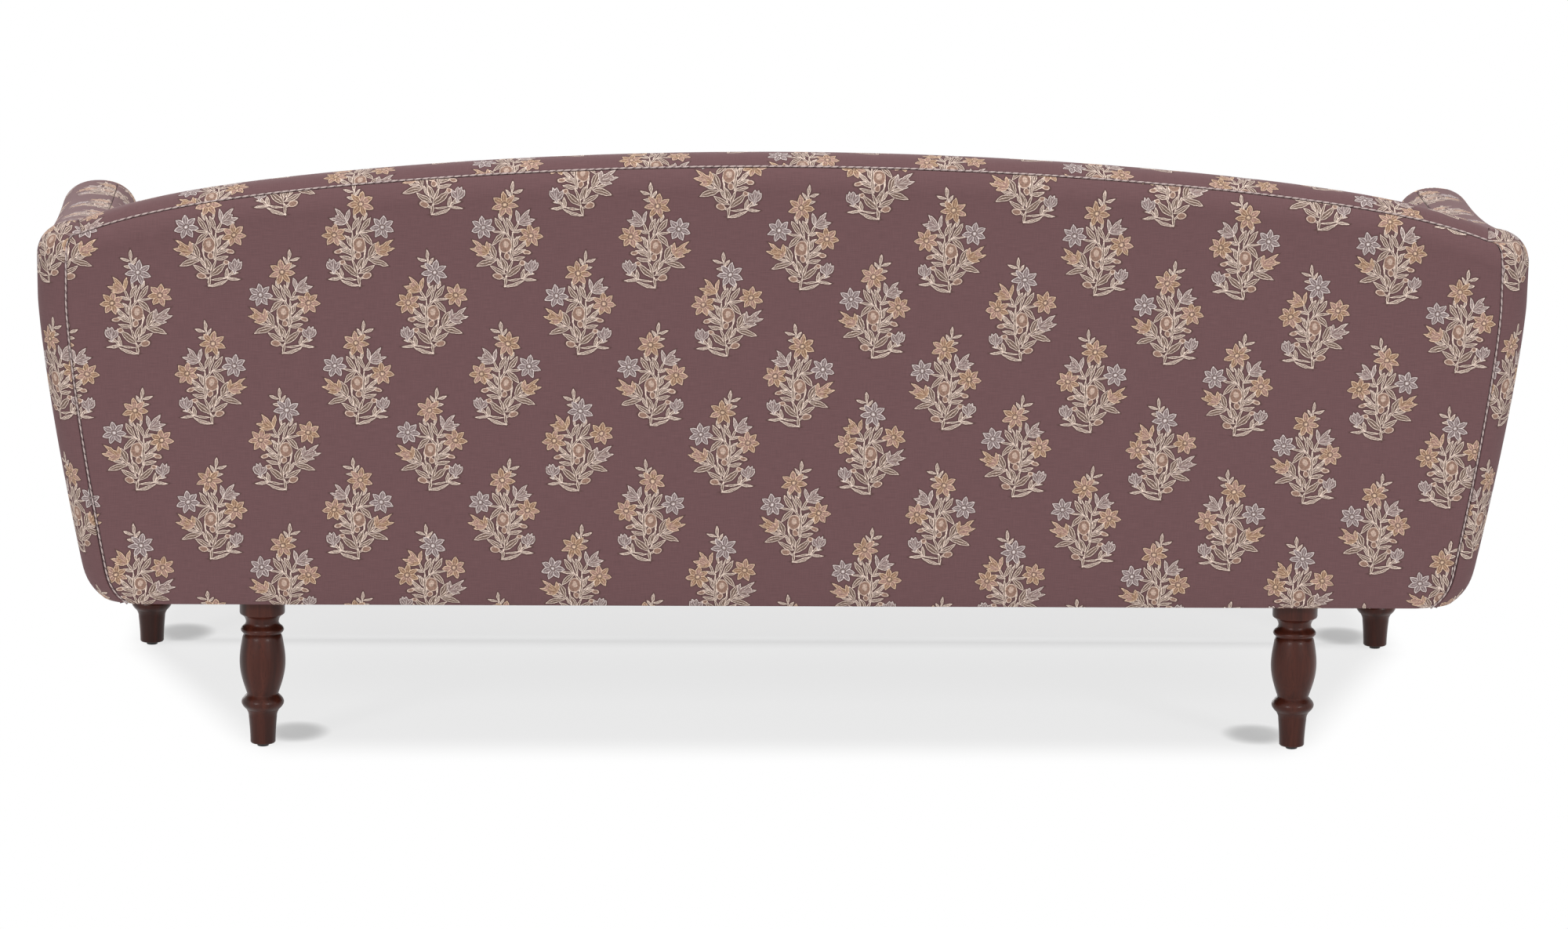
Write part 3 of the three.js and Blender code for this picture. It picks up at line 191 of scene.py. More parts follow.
# Inner arm: drawn in evenly towards the seat, and the cap above its foot.
def armInnerX(z, y):
    foot = armRidge(y) - form["capRise"]
    footX = splayedX(y) - form["wall"]
    low = footX - form["innerDraw"] * np.clip((foot - z) / (foot - form["deck"]), 0, 1)
    return np.where(z > foot, footX + capInset(z - foot), low)


# The outer face as one path: 0 to 1 along the arm, 1 to 2 a quarter circle round the corner.
def outerPoint(path, z, wallZ, inset):
    rearY = backY(wallZ)
    centreY = rearY - form["corner"]
    centreX = sideX(wallZ, centreY) - form["corner"]
    y = mix(frontY + form["armStart"], centreY, np.minimum(path, 1))
    turn = np.clip(path - 1, 0, 1) * np.pi / 2
    radius = form["corner"] - inset
    onArm = path <= 1
    x = np.where(onArm, sideX(wallZ, y) - inset, centreX + radius * np.cos(turn))
    return stacked(x, np.where(onArm, y, centreY + radius * np.sin(turn)), z)


# The rear face over any place of the back panel: the plane, then the corner's circle, then the cap.
def rearPoint(x, z, proud=0.0):
    foot = backRidge(x) - form["capRise"]
    wallZ = np.minimum(z, foot)
    radius = form["corner"] - capInset(np.maximum(0, z - foot)) + proud
    past = np.maximum(0, np.abs(x) - sideX(wallZ, shoulderY) + form["corner"])
    y = backY(wallZ) - form["corner"] + np.sqrt(np.maximum(0, radius**2 - past**2))
    return stacked(x, y, z)


weltRise = capAt(form["weltShare"])[1]
weltDrop = form["capRise"] - weltRise
weltBendX = rearHalf - form["seamHigh"] - form["seamBend"]
weltBendZ = float(backRidge(weltBendX)) - weltDrop - form["seamBend"]


# The panel's side seam keeps a distance from the outer side that grows with height.
def weltX(z):
    up = np.clip((z - form["underside"]) / (shoulderZ - form["underside"]), 0, 1)
    return sideX(z, shoulderY) - mix(form["seamLow"], form["seamHigh"], up)


# A line beside the welt: the hump's own curve, and a quarter circle at each end.
def weltLineZ(x, inside):
    past = np.abs(x) - weltBendX
    radius = form["seamBend"] - inside
    bend = weltBendZ + np.sqrt(np.maximum(0, radius**2 - np.maximum(past, 0) ** 2))
    return np.where(past <= 0, backRidge(x) - weltDrop - inside, bend)


def backCapPoint(x, share):
    inset, rise = capAt(share)
    foot = backRidge(x) - form["capRise"]
    return stacked(x, backY(foot) - inset, foot + rise)


# Where the arm's cap meets the back's, halving the interval thirty times.
def meetingX(share):
    inset, rise = capAt(share)
    low = np.full(np.shape(share), shoulderX - form["wall"])
    high = np.full(np.shape(share), shoulderX)
    for _ in range(30):
        x = (low + high) / 2
        foot = backRidge(x) - form["capRise"]
        inArm = armInnerX(foot + rise, backY(foot) - inset) > x
        low, high = np.where(inArm, x, low), np.where(inArm, high, x)
    return np.minimum(low, shoulderX)


# Half width of the top border: from the welt's bend out to the shoulder, then along the arm's cap.
def borderEndX(share):
    out = np.maximum(0, share - form["weltShare"]) / (0.5 - form["weltShare"])
    return np.where(share <= 0.5, mix(weltBendX, shoulderX, np.minimum(out, 1)), meetingX(share))


def armCapPoint(share, y):
    inset, rise = capAt(share)
    return stacked(splayedX(y) - inset, y, armRidge(y) - form["capRise"] + rise)


# Meshes from grids

def gridNormals(grid, side):
    normal = np.cross(np.gradient(grid, axis=0), np.gradient(grid, axis=1)) * side
    return normal / np.maximum(np.linalg.norm(normal, axis=-1, keepdims=True), 1e-12)


# Cloth turned into a seam: each edge bends in a quarter circle, then runs straight in.
def turnedIn(grid, side, radius=form["roll"], depth=form["turnIn"]):
    for axis in (0, 1):
        normals = np.swapaxes(gridNormals(grid, side), 0, axis)
        rows = np.swapaxes(grid, 0, axis)
        angle = np.linspace(0, np.pi / 2, turnedRows)[:, None, None]
        ends = []
        for edge, inner, normal in ((rows[0], rows[1], normals[0]), (rows[-1], rows[-2], normals[-1])):
            off = edge - inner
            off -= normal * (off * normal).sum(-1, keepdims=True)
            off /= np.maximum(np.linalg.norm(off, axis=-1, keepdims=True), 1e-12)
            bend = edge - off * radius * (1 - np.sin(angle)) - normal * radius * (1 - np.cos(angle))
            ends.append(np.concatenate([bend, (edge - normal * depth)[None]]))
        grid = np.swapaxes(np.concatenate([ends[0][::-1], rows[1:-1], ends[1]]), 0, axis)
    return grid


# Lengths along the cloth from one column and one row of the grid, so that the print keeps its size.
def layFlat(grid, column, row):
    across = np.linalg.norm(np.diff(grid, axis=0), axis=-1)
    along = np.linalg.norm(np.diff(grid, axis=1), axis=-1)
    u = np.concatenate([np.zeros((1, grid.shape[1])), np.cumsum(across, axis=0)])
    v = np.concatenate([np.zeros((grid.shape[0], 1)), np.cumsum(along, axis=1)], axis=1)
    return np.stack([u - u[column], v - v[:, row][:, None]], axis=-1)


def gridQuads(columns, rows, closedColumns=False, closedRows=False):
    i = np.arange(columns if closedColumns else columns - 1)[:, None]
    j = np.arange(rows if closedRows else rows - 1)[None, :]
    nextI, nextJ = (i + 1) % columns, (j + 1) % rows
    quads = [i * rows + j, nextI * rows + j, nextI * rows + nextJ, i * rows + nextJ]
    return np.stack(np.broadcast_arrays(*quads), axis=-1).reshape(-1, 4)


def newPiece(name, points, faces, material, clothMap=None, smooth=True):
    mesh = bpy.data.meshes.new(name)
    mesh.from_pydata(points.reshape(-1, 3).tolist(), [], faces if isinstance(faces, list) else faces.tolist())
    if clothMap is not None:
        layer = mesh.uv_layers.new(name="clothMap")
        corner = np.zeros(len(mesh.loops), dtype=np.int32)
        mesh.loops.foreach_get("vertex_index", corner)
        perCorner = clothMap if len(clothMap) == len(corner) else clothMap.reshape(-1, 2)[corner]
        layer.data.foreach_set("uv", perCorner.astype(np.float32).ravel())
    mesh.polygons.foreach_set("use_smooth", np.full(len(mesh.polygons), smooth))
    mesh.materials.append(material)
    mesh.validate()
    mesh.update()
    piece = bpy.data.objects.new(name, mesh)
    scene.collection.objects.link(piece)
    return piece


def facing(faces, side):
    return faces if side > 0 else faces[:, ::-1]


def thickened(piece, thickness=form["cloth"], offset=-1):
    wall = piece.modifiers.new("clothThickness", "SOLIDIFY")
    wall.thickness, wall.offset = thickness, offset
    return piece


def clothPiece(name, grid, side, clothMap, material, thickness=form["cloth"]):
    faces = gridQuads(grid.shape[0], grid.shape[1])
    return thickened(newPiece(name, grid, facing(faces, side), material, clothMap), thickness)


# What a piece belongs to: its body, and the solids that it stands for, which are hidden. The slot, a material's name,
# is not used.
def fitted(piece, body, slot, *nodes):
    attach(piece, body)
    if nodes:
        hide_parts(*nodes)
    return piece


def reworked(piece, step):
    work = bmesh.new()
    work.from_mesh(piece.data)
    step(work)
    work.to_mesh(piece.data)
    work.free()
    return piece


def mergeDoubles(work, distance=2e-5):
    bmesh.ops.remove_doubles(work, verts=work.verts, dist=distance)
    bmesh.ops.dissolve_degenerate(work, edges=work.edges, dist=distance)


def faceOut(work):
    bmesh.ops.recalc_face_normals(work, faces=work.faces)


# The shape as it is on the left, or mirrored to the right.
def handed(grid, side):
    return grid * np.array([side, 1, 1])


# Lengths along a line of points, from 0.
def lengthsAlong(path):
    return np.concatenate([[0], np.cumsum(np.linalg.norm(np.diff(path, axis=0), axis=1))])


# A tube: at each station of the path a ring of points stands square to it, on a frame carried
# along without twist against one steady direction.
def tubeGrid(path, radius, sides, steady=(0.0, 1.0, 0.0), closed=False):
    ahead = np.roll(path, -1, 0) - np.roll(path, 1, 0) if closed else np.gradient(path, axis=0)
    ahead /= np.linalg.norm(ahead, axis=1, keepdims=True)
    first = np.cross(ahead, np.broadcast_to(steady, path.shape))
    first /= np.maximum(np.linalg.norm(first, axis=1, keepdims=True), 1e-9)
    second = np.cross(ahead, first)
    turn = np.linspace(0, 2 * np.pi, sides, endpoint=False)[None, :, None]
    ring = first[:, None] * np.cos(turn) + second[:, None] * np.sin(turn)
    return path[:, None] + ring * np.asarray(radius).reshape(-1, 1, 1)


def tubePiece(name, path, radius, sides, material, steady=(0.0, 1.0, 0.0), closed=False):
    count = len(path)
    faces = gridQuads(count, sides, closed, True)[:, ::-1]
    length = lengthsAlong(path)
    quadI, quadJ = np.divmod(np.arange(len(faces)), sides)
    near, far = length[quadI], length[quadI] + length[-1] / (count - 1)
    u = np.stack([near, far, far, near], axis=1)
    v = np.stack([quadJ, quadJ + 1, quadJ + 1, quadJ], axis=1) / sides
    piece = newPiece(name, tubeGrid(path, radius, sides, steady, closed), faces, material,
                     np.stack([u, v], -1).reshape(-1, 2))

    def cap(work):
        work.verts.ensure_lookup_table()
        for start, order in ((0, 1), ((count - 1) * sides, -1)):
            work.faces.new([work.verts[start + k] for k in range(sides)][::order])
        faceOut(work)

    return piece if closed else reworked(piece, cap)


# A turned shape: a profile of radii and heights carried round an upright axis, closed at both ends.
def turnedPiece(name, radii, heights, place, material, sides=72, sharp=35):
    turn = np.linspace(0, 2 * np.pi, sides, endpoint=False)
    x = place[0] + radii[:, None] * np.cos(turn)
    y = place[1] + radii[:, None] * np.sin(turn)
    middles = stacked(*place, heights[[0, -1]])
    points = np.concatenate([stacked(x, y, heights[:, None]).reshape(-1, 3), middles])
    low, ring, last = len(radii) * sides, np.arange(sides), (len(radii) - 1) * sides
    following = (ring + 1) % sides
    lowFan = np.stack([np.full(sides, low), following, ring], 1)
    highFan = np.stack([np.full(sides, low + 1), last + ring, last + following], 1)
    faces = gridQuads(len(radii), sides, False, True)[:, ::-1]
    piece = newPiece(name, points, faces.tolist() + lowFan.tolist() + highFan.tolist(), material)
    reworked(piece, faceOut).data.set_sharp_from_angle(angle=math.radians(sharp))
    return piece


# Node helpers. A wire is one output of a node. Sums, products and comparisons of wires are Math nodes,
# or Vector Math nodes where a vector or a colour is among them.

class Wire:
    def __init__(self, socket):
        self.socket, self.tree = socket, socket.id_data

    def other(self, key):
        return Wire(self.socket.node.outputs[key])

    def __add__(self, value):
        return maths("ADD", self, value)

    def __sub__(self, value):
        return maths("SUBTRACT", self, value)

    def __rsub__(self, value):
        return maths("SUBTRACT", value, self)

    def __mul__(self, value):
        return maths("MULTIPLY", self, value)

    def __truediv__(self, value):
        return maths("DIVIDE", self, value)

    def __rtruediv__(self, value):
        return maths("DIVIDE", value, self)

    def __mod__(self, value):
        return maths("FLOORED_MODULO", self, value)

    def __pow__(self, value):
        return maths("POWER", self, value)

    def __lt__(self, value):
        return maths("LESS_THAN", self, value)

    def __gt__(self, value):
        return maths("GREATER_THAN", self, value)

    def __abs__(self):
        return maths("ABSOLUTE", self)


def treeOf(values):
    return next(value.tree for value in values if isinstance(value, Wire))


def feed(socket, value):
    if isinstance(value, Wire):
        value.tree.links.new(value.socket, socket)
    elif value is not None:
        socket.default_value = value


def feedAll(inputs, values):
    for key, value in values.items():
        feed(inputs[key], value)


# Makes a node and returns its first output.
def node(kind, settings=None, tree=None, **inputs):
    made = (tree or treeOf(inputs.values())).nodes.new("ShaderNode" + kind)
    for key, value in (settings or {}).items():
        setattr(made, key, value)
    feedAll(made.inputs, inputs)
    return Wire(made.outputs[0])


def maths(operation, *values):
    vector = any(isinstance(value, Wire) and value.socket.type != "VALUE" for value in values)
    made = treeOf(values).nodes.new("ShaderNodeVectorMath" if vector else "ShaderNodeMath")
    made.operation = operation
    feedAll(made.inputs, dict(enumerate(values)))
    return Wire(made.outputs[0])


def timesPlus(value, factor, extra):
    return maths("MULTIPLY_ADD", value, factor, extra)


def larger(first, *others):
    for other in others:
        first = maths("MAXIMUM", first, other)
    return first


def split(vector):
    first = node("SeparateXYZ", Vector=vector)
    return first, first.other(1), first.other(2)


def largest(vector):
    return larger(*split(vector))


def noise(vector, scale, detail, kind="2D", **more):
    return node("TexNoise", {"noise_dimensions": kind}, Vector=vector, Scale=scale, Detail=detail, **more)


# A smooth step from one value to the other between two limits.
def ramp(value, low, high, lowValue=0.0, highValue=1.0):
    made = value.tree.nodes.new("ShaderNodeMapRange")
    made.interpolation_type = "SMOOTHSTEP"
    feedAll(made.inputs, dict(enumerate((value, low, high, lowValue, highValue))))
    return Wire(made.outputs[0])


mixSockets = {"FLOAT": (2, 3, 0), "VECTOR": (4, 5, 1), "RGBA": (6, 7, 2)}  # both inputs and the output


def blended(share, first, second, kind="RGBA"):
    made = share.tree.nodes.new("ShaderNodeMix")
    made.data_type = kind
    firstAt, secondAt, result = mixSockets[kind]
    feedAll(made.inputs, {0: share, firstAt: first, secondAt: second})
    return Wire(made.outputs[result])


def shaded(colour, shade):
    made = node("VectorMath", {"operation": "SCALE"}, Scale=shade)
    feed(made.socket.node.inputs[0], colour)
    return made


def bumped(height, strength, distance):
    return node("Bump", Strength=strength, Distance=distance, Height=height)


def sRgb(red, green, blue):
    values = np.array([red, green, blue]) / 255
    linear = np.where(values <= 0.04045, values / 12.92, ((values + 0.055) / 1.055) ** 2.4)
    return (*linear.tolist(), 1.0)


# An input's value gives its kind: a number, a colour of four numbers, and otherwise a vector.
def nodeGroup(name, inputs, outputs):
    tree = bpy.data.node_groups.new(name, "ShaderNodeTree")
    for key, value in inputs.items():
        kind = "Float" if isinstance(value, float) else "Color" if value and len(value) == 4 else "Vector"
        socket = tree.interface.new_socket(name=key, in_out="INPUT", socket_type="NodeSocket" + kind)
        if value is not None:
            socket.default_value = value
    for key, kind in outputs.items():
        tree.interface.new_socket(name=key, in_out="OUTPUT", socket_type="NodeSocket" + kind)
    given = tree.nodes.new("NodeGroupInput").outputs
    return tree, {key: Wire(given[key]) for key in inputs}, tree.nodes.new("NodeGroupOutput").inputs


def useGroup(group, inputs):
    made = treeOf(inputs.values()).nodes.new("ShaderNodeGroup")
    made.node_tree = group
    feedAll(made.inputs, inputs)
    return {socket.name: Wire(socket) for socket in made.outputs}


def newMaterial(name):
    made = bpy.data.materials.new(name)
    made.use_nodes = True
    tree = made.node_tree
    return made, tree, tree.nodes["Principled BSDF"].inputs


# The printed sprig, in millimetres about its own middle. A leaf or petal is (root x, y, tip x, y,
# half width, bend), an oval is (x, y, half length, half width, angle), a flower is (x, y, radius).
sprig = {
    "leaves": [
        (-6.5, 72.0, -7.5, 88.5, 2.9, 0.0), (-7.5, 71.0, -22.0, 75.5, 2.6, 0.3),
        (-2.5, 61.0, -17.0, 64.5, 2.9, -0.3), (-4.5, 66.0, 1.5, 77.0, 2.4, 0.2),
        (-9.0, 16.0, 0.5, 36.5, 3.9, 0.2), (3.0, 14.0, 17.5, 35.5, 4.6, -0.2),
        (2.0, 15.0, 20.5, -4.0, 4.6, 0.35), (-7.0, 13.5, -22.5, 19.0, 2.8, 0.2),
        (-11.0, -8.0, -14.5, 8.5, 3.6, 0.1), (-15.0, -13.0, -29.0, 1.5, 2.6, 0.1),
        (-7.0, -18.5, -26.5, -10.0, 3.2, -0.3), (-5.5, -26.5, -26.5, -22.5, 3.6, 0.35),
        (14.0, -25.0, 23.5, -1.5, 5.2, 0.2), (14.5, -26.5, 43.0, -34.5, 5.2, 0.3),
        (0.5, -48.5, 24.0, -35.0, 4.2, -0.3), (0.0, -52.0, -22.5, -32.0, 5.6, 0.2),
        (-16.5, -34.5, -27.0, -28.5, 3.6, 0.0), (-2.0, -43.5, 5.5, -23.0, 3.8, 0.2),
        (-6.5, -28.0, -9.0, -6.5, 3.2, 0.2), (-21.5, -55.0, -25.0, -38.5, 3.2, 0.1),
        (-20.5, -53.5, -42.5, -56.5, 2.6, 0.4), (-24.0, -48.0, -40.0, -45.5, 2.2, -0.2),
        (3.0, -67.5, -26.5, -57.5, 2.9, 0.9), (10.0, -22.0, 8.5, 3.0, 1.9, -1.5),
        (-6.5, -16.0, -3.5, 5.0, 1.9, 1.3), (-4.5, 30.0, -6.0, 46.0, 2.4, 0.4),
        (7.0, 30.0, 12.5, 42.5, 2.4, -0.3), (19.0, -24.5, 37.0, -20.0, 2.8, -0.3),
        (6.0, -40.0, 13.5, -23.5, 2.8, -0.3), (-8.0, 1.0, -20.0, 9.5, 2.2, 0.3),
    ],
    "stems": [
        (2.0, -67.0, 0.0, -49.0, 1.9, 0.0), (0.5, -53.0, -8.5, -24.0, 1.9, -0.7),
        (-7.5, -27.0, -9.0, 16.0, 1.8, 0.6), (-8.5, 12.0, -18.5, 32.0, 1.7, 0.6),
        (-4.0, 8.0, 5.5, 38.0, 1.7, 0.6), (-10.0, -2.0, 3.5, 16.0, 1.6, 0.4),
        (1.0, 13.5, 24.0, 16.0, 1.6, -0.8), (1.5, -48.0, 9.0, -16.0, 1.8, 0.7),
        (7.5, -32.0, 30.0, -12.5, 1.6, -0.7), (0.0, -56.0, 9.5, -50.5, 1.5, 0.3),
        (-23.0, -55.0, -35.0, -39.5, 1.6, 0.4), (-5.0, 56.0, -6.5, 77.0, 1.5, 0.3),
        (-9.5, -14.5, -28.0, 3.0, 1.5, 0.3), (-5.5, -20.5, -24.5, -13.5, 1.5, -0.3),
        (-1.0, -57.0, -23.0, -54.0, 1.6, 0.6),
    ],
    # by turns a petal of the upper left bell, of the lower right bell and of the low tuft
    "petals": [
        (-16.0, 27.0, -32.0, 38.5, 6.2, 0.0), (24.5, -16.0, 44.5, -7.5, 7.4, 0.0),
        (-34.5, -43.5, -44.5, -30.0, 4.6, 0.2),
        (-17.0, 29.0, -32.0, 48.5, 3.4, -0.2), (26.5, -15.5, 47.5, 3.5, 3.2, 0.3),
        (-34.5, -43.5, -34.8, -25.0, 4.6, 0.0),
        (-16.5, 28.0, -13.5, 47.5, 3.2, 0.3), (29.0, -14.5, 51.5, -10.5, 3.0, -0.3),
        (-34.5, -43.5, -25.5, -30.0, 4.6, -0.2),
        (-18.0, 29.0, -40.0, 33.5, 3.4, 0.2), (25.0, -15.5, 27.5, 1.0, 3.4, 0.1),
        (-34.5, -48.0, -34.5, -35.0, 3.0, 0.0),
        (-15.0, 27.0, -35.0, 26.5, 3.2, 0.3), (24.0, -16.0, 42.5, -19.5, 3.4, -0.2),
        (-34.5, -43.0, -40.5, -25.5, 3.4, 0.1),
    ],
    "ovals": [
        (1.6, -5.0, 11.4, 8.8, 96), (-0.8, -20.8, 5.2, 4.0, 70), (12.0, -50.5, 7.0, 4.4, 16),
        (-28.0, -14.8, 5.8, 3.2, 12), (1.2, -3.5, 5.6, 4.0, 80), (-22.5, -30.5, 4.0, 3.2, 20),
    ],
    "flowers": {"top": (3.1, 54.6, 19.0), "left": (-33.6, 9.6, 17.4), "right": (33.2, 21.0, 17.4)},
    "topFlowerAbove": (0.25, 33.5),  # its part of the cell starts at a height, and higher by a share of x
    "petalCount": 7, "petalWidth": 4.2, "petalTurn": 0.35, "slim": 0.82, "bellSlim": 0.9,
    "heart": 3.6, "rib": 0.42, "vein": 0.35, "gap": 0.55,
    "repeat": (207.0, 204.8), "drop": 105.0, "tilt": -0.55, "start": (-915.5, 445.3),
    "wobble": 1.3, "unevenInk": 1.3,
    "noise": {"wobble": (0.11, 2.0), "blush": (0.06, 1.0), "uneven": (0.42, 2.0)},  # scale and detail
    "white": {"leftBell": 0.8, "rightBell": 0.75, "tuft": 0.9},  # share of white ink, where a colouring has it
}
printInk = {
    "ground": (109, 80, 82), "shade": (78, 56, 52), "leafEdge": (230, 210, 196), "leafFill": (116, 95, 85),
    "tanEdge": (224, 196, 168), "tanFill": (148, 116, 94), "whiteEdge": (228, 216, 212),
    "whiteFill": (132, 115, 114), "budEdge": (214, 190, 174), "budFill": (146, 116, 102), "heart": (92, 68, 63),
    "blush": (160, 126, 116),
}
# How far inside a figure, in millimetres, one ink gives way to the next, and in some rows how strongly.
inkEdge = {
    "shade": (-3.2, 0.0, 0.0, 0.75), "figure": (-0.15, 0.15), "leafFill": (0.55, 1.1), "rib": (-0.1, 0.2),
    "bud": (-0.1, 0.2), "budFill": (0.5, 1.2), "roseHeart": (0.0, 0.5, 0.0, 0.6), "blush": (0.42, 0.58),
    "petalFill": (0.4, 1.3), "vein": (-0.2, 0.2, 0.0, 0.55), "gap": (0.0, 0.3), "bellRib": (-0.1, 0.2, 0.0, 0.7),
    "heart": (1.2, 0.5, 0.0, 0.75),
}

# Three shapes are worked out at once, one in each component of a vector: X and Y are the place, and
# along (a) and across (b) are the same place in a shape's own frame, 1 at its tip and at its side.
trioInputs = dict.fromkeys(("X", "Y", "Along X", "Along Y", "Along Start", "Across X", "Across Y",
                            "Across Start", "Half Width"))


def ownFrame(given):
    return [timesPlus(given["X"], given[f"{way} X"],
                      timesPlus(given["Y"], given[f"{way} Y"], given[f"{way} Start"]))
            for way in ("Along", "Across")]


# Three leaves: inside is half width x (1 - a squared - |b + bend x a squared|).
def leafTrioGroup():
    tree, given, out = nodeGroup("leafTrio", {**trioInputs, "Bend": None}, {"Inside": "Vector", "Rib": "Vector"})
    along, across = ownFrame(given)
    square = along * along
    bent = abs(timesPlus(square, given["Bend"], across))
    taper = (1, 1, 1) - square
    feed(out["Inside"], (taper - bent) * given["Half Width"])
    side = bent * given["Half Width"]
    feed(out["Rib"], taper * ((sprig["rib"],) * 3) - side)
    return tree


# Three ovals: half of half width x (1 - a squared - b squared).
def ovalTrioGroup():
    tree, given, out = nodeGroup("ovalTrio", trioInputs, {"Inside": "Vector"})
    along, across = ownFrame(given)
    squares = timesPlus(along, along, across * across)
    feed(out["Inside"], ((1, 1, 1) - squares) * given["Half Width"] * (0.5, 0.5, 0.5))
    return tree


# A star flower: the angle round its middle is folded onto one petal, which is a leaf shape.
def starFlowerGroup():
    tree, given, out = nodeGroup("starFlower", {
        "Vector": None, "Centre": None, "Radius": 17.0, "Petals": 8.0, "Turn": 0.3, "Petal Width": 5.0,
    }, dict.fromkeys(("Inside", "Distance", "Vein", "Gap"), "Float"))
    x, y, _ = split(given["Vector"] - given["Centre"])
    distance = maths("SQRT", x * x + y * y)
    angle = maths("ARCTAN2", y, x) + given["Turn"]
    sector = math.pi / given["Petals"]
    fold = maths("PINGPONG", angle, sector)
    half = given["Radius"] * 0.5
    along = (distance * maths("COSINE", fold) - half) / half
    side = distance * maths("SINE", fold)
    feed(out["Inside"], (1.0 - along * along) * given["Petal Width"] - side)
    feed(out["Distance"], distance)
    feed(out["Vein"], sprig["vein"] - side)
    feed(out["Gap"], sprig["gap"] - distance * maths("SINE", sector - fold))
    return tree


def frameInputs(centre, half, width, angle):
    c, s = np.cos(angle), np.sin(angle)
    x, y = centre[:, 0], centre[:, 1]
    rows = {
        "Along X": c / half, "Along Y": s / half, "Along Start": -(x * c + y * s) / half,
        "Across X": -s / width, "Across Y": c / width, "Across Start": (x * s - y * c) / width, "Half Width": width,
    }
    return {key: tuple(value.tolist()) for key, value in rows.items()}


def leafUnion(group, x3, y3, shapes, slim=1.0):
    inside = rib = None
    for k in range(0, len(shapes), 3):
        table = np.array(shapes[k:k + 3], dtype=float)
        root, tip, bend = table[:, 0:2], table[:, 2:4], tuple(table[:, 5].tolist())
        reach = tip - root
        own = frameInputs((root + tip) / 2, np.linalg.norm(reach, axis=1) / 2, table[:, 4] * slim,
                          np.arctan2(reach[:, 1], reach[:, 0]))
        made = useGroup(group, {"X": x3, "Y": y3, "Bend": bend, **own})
        inside = larger(inside, made["Inside"]) if inside else made["Inside"]
        rib = larger(rib, made["Rib"]) if rib else made["Rib"]
    return inside, rib


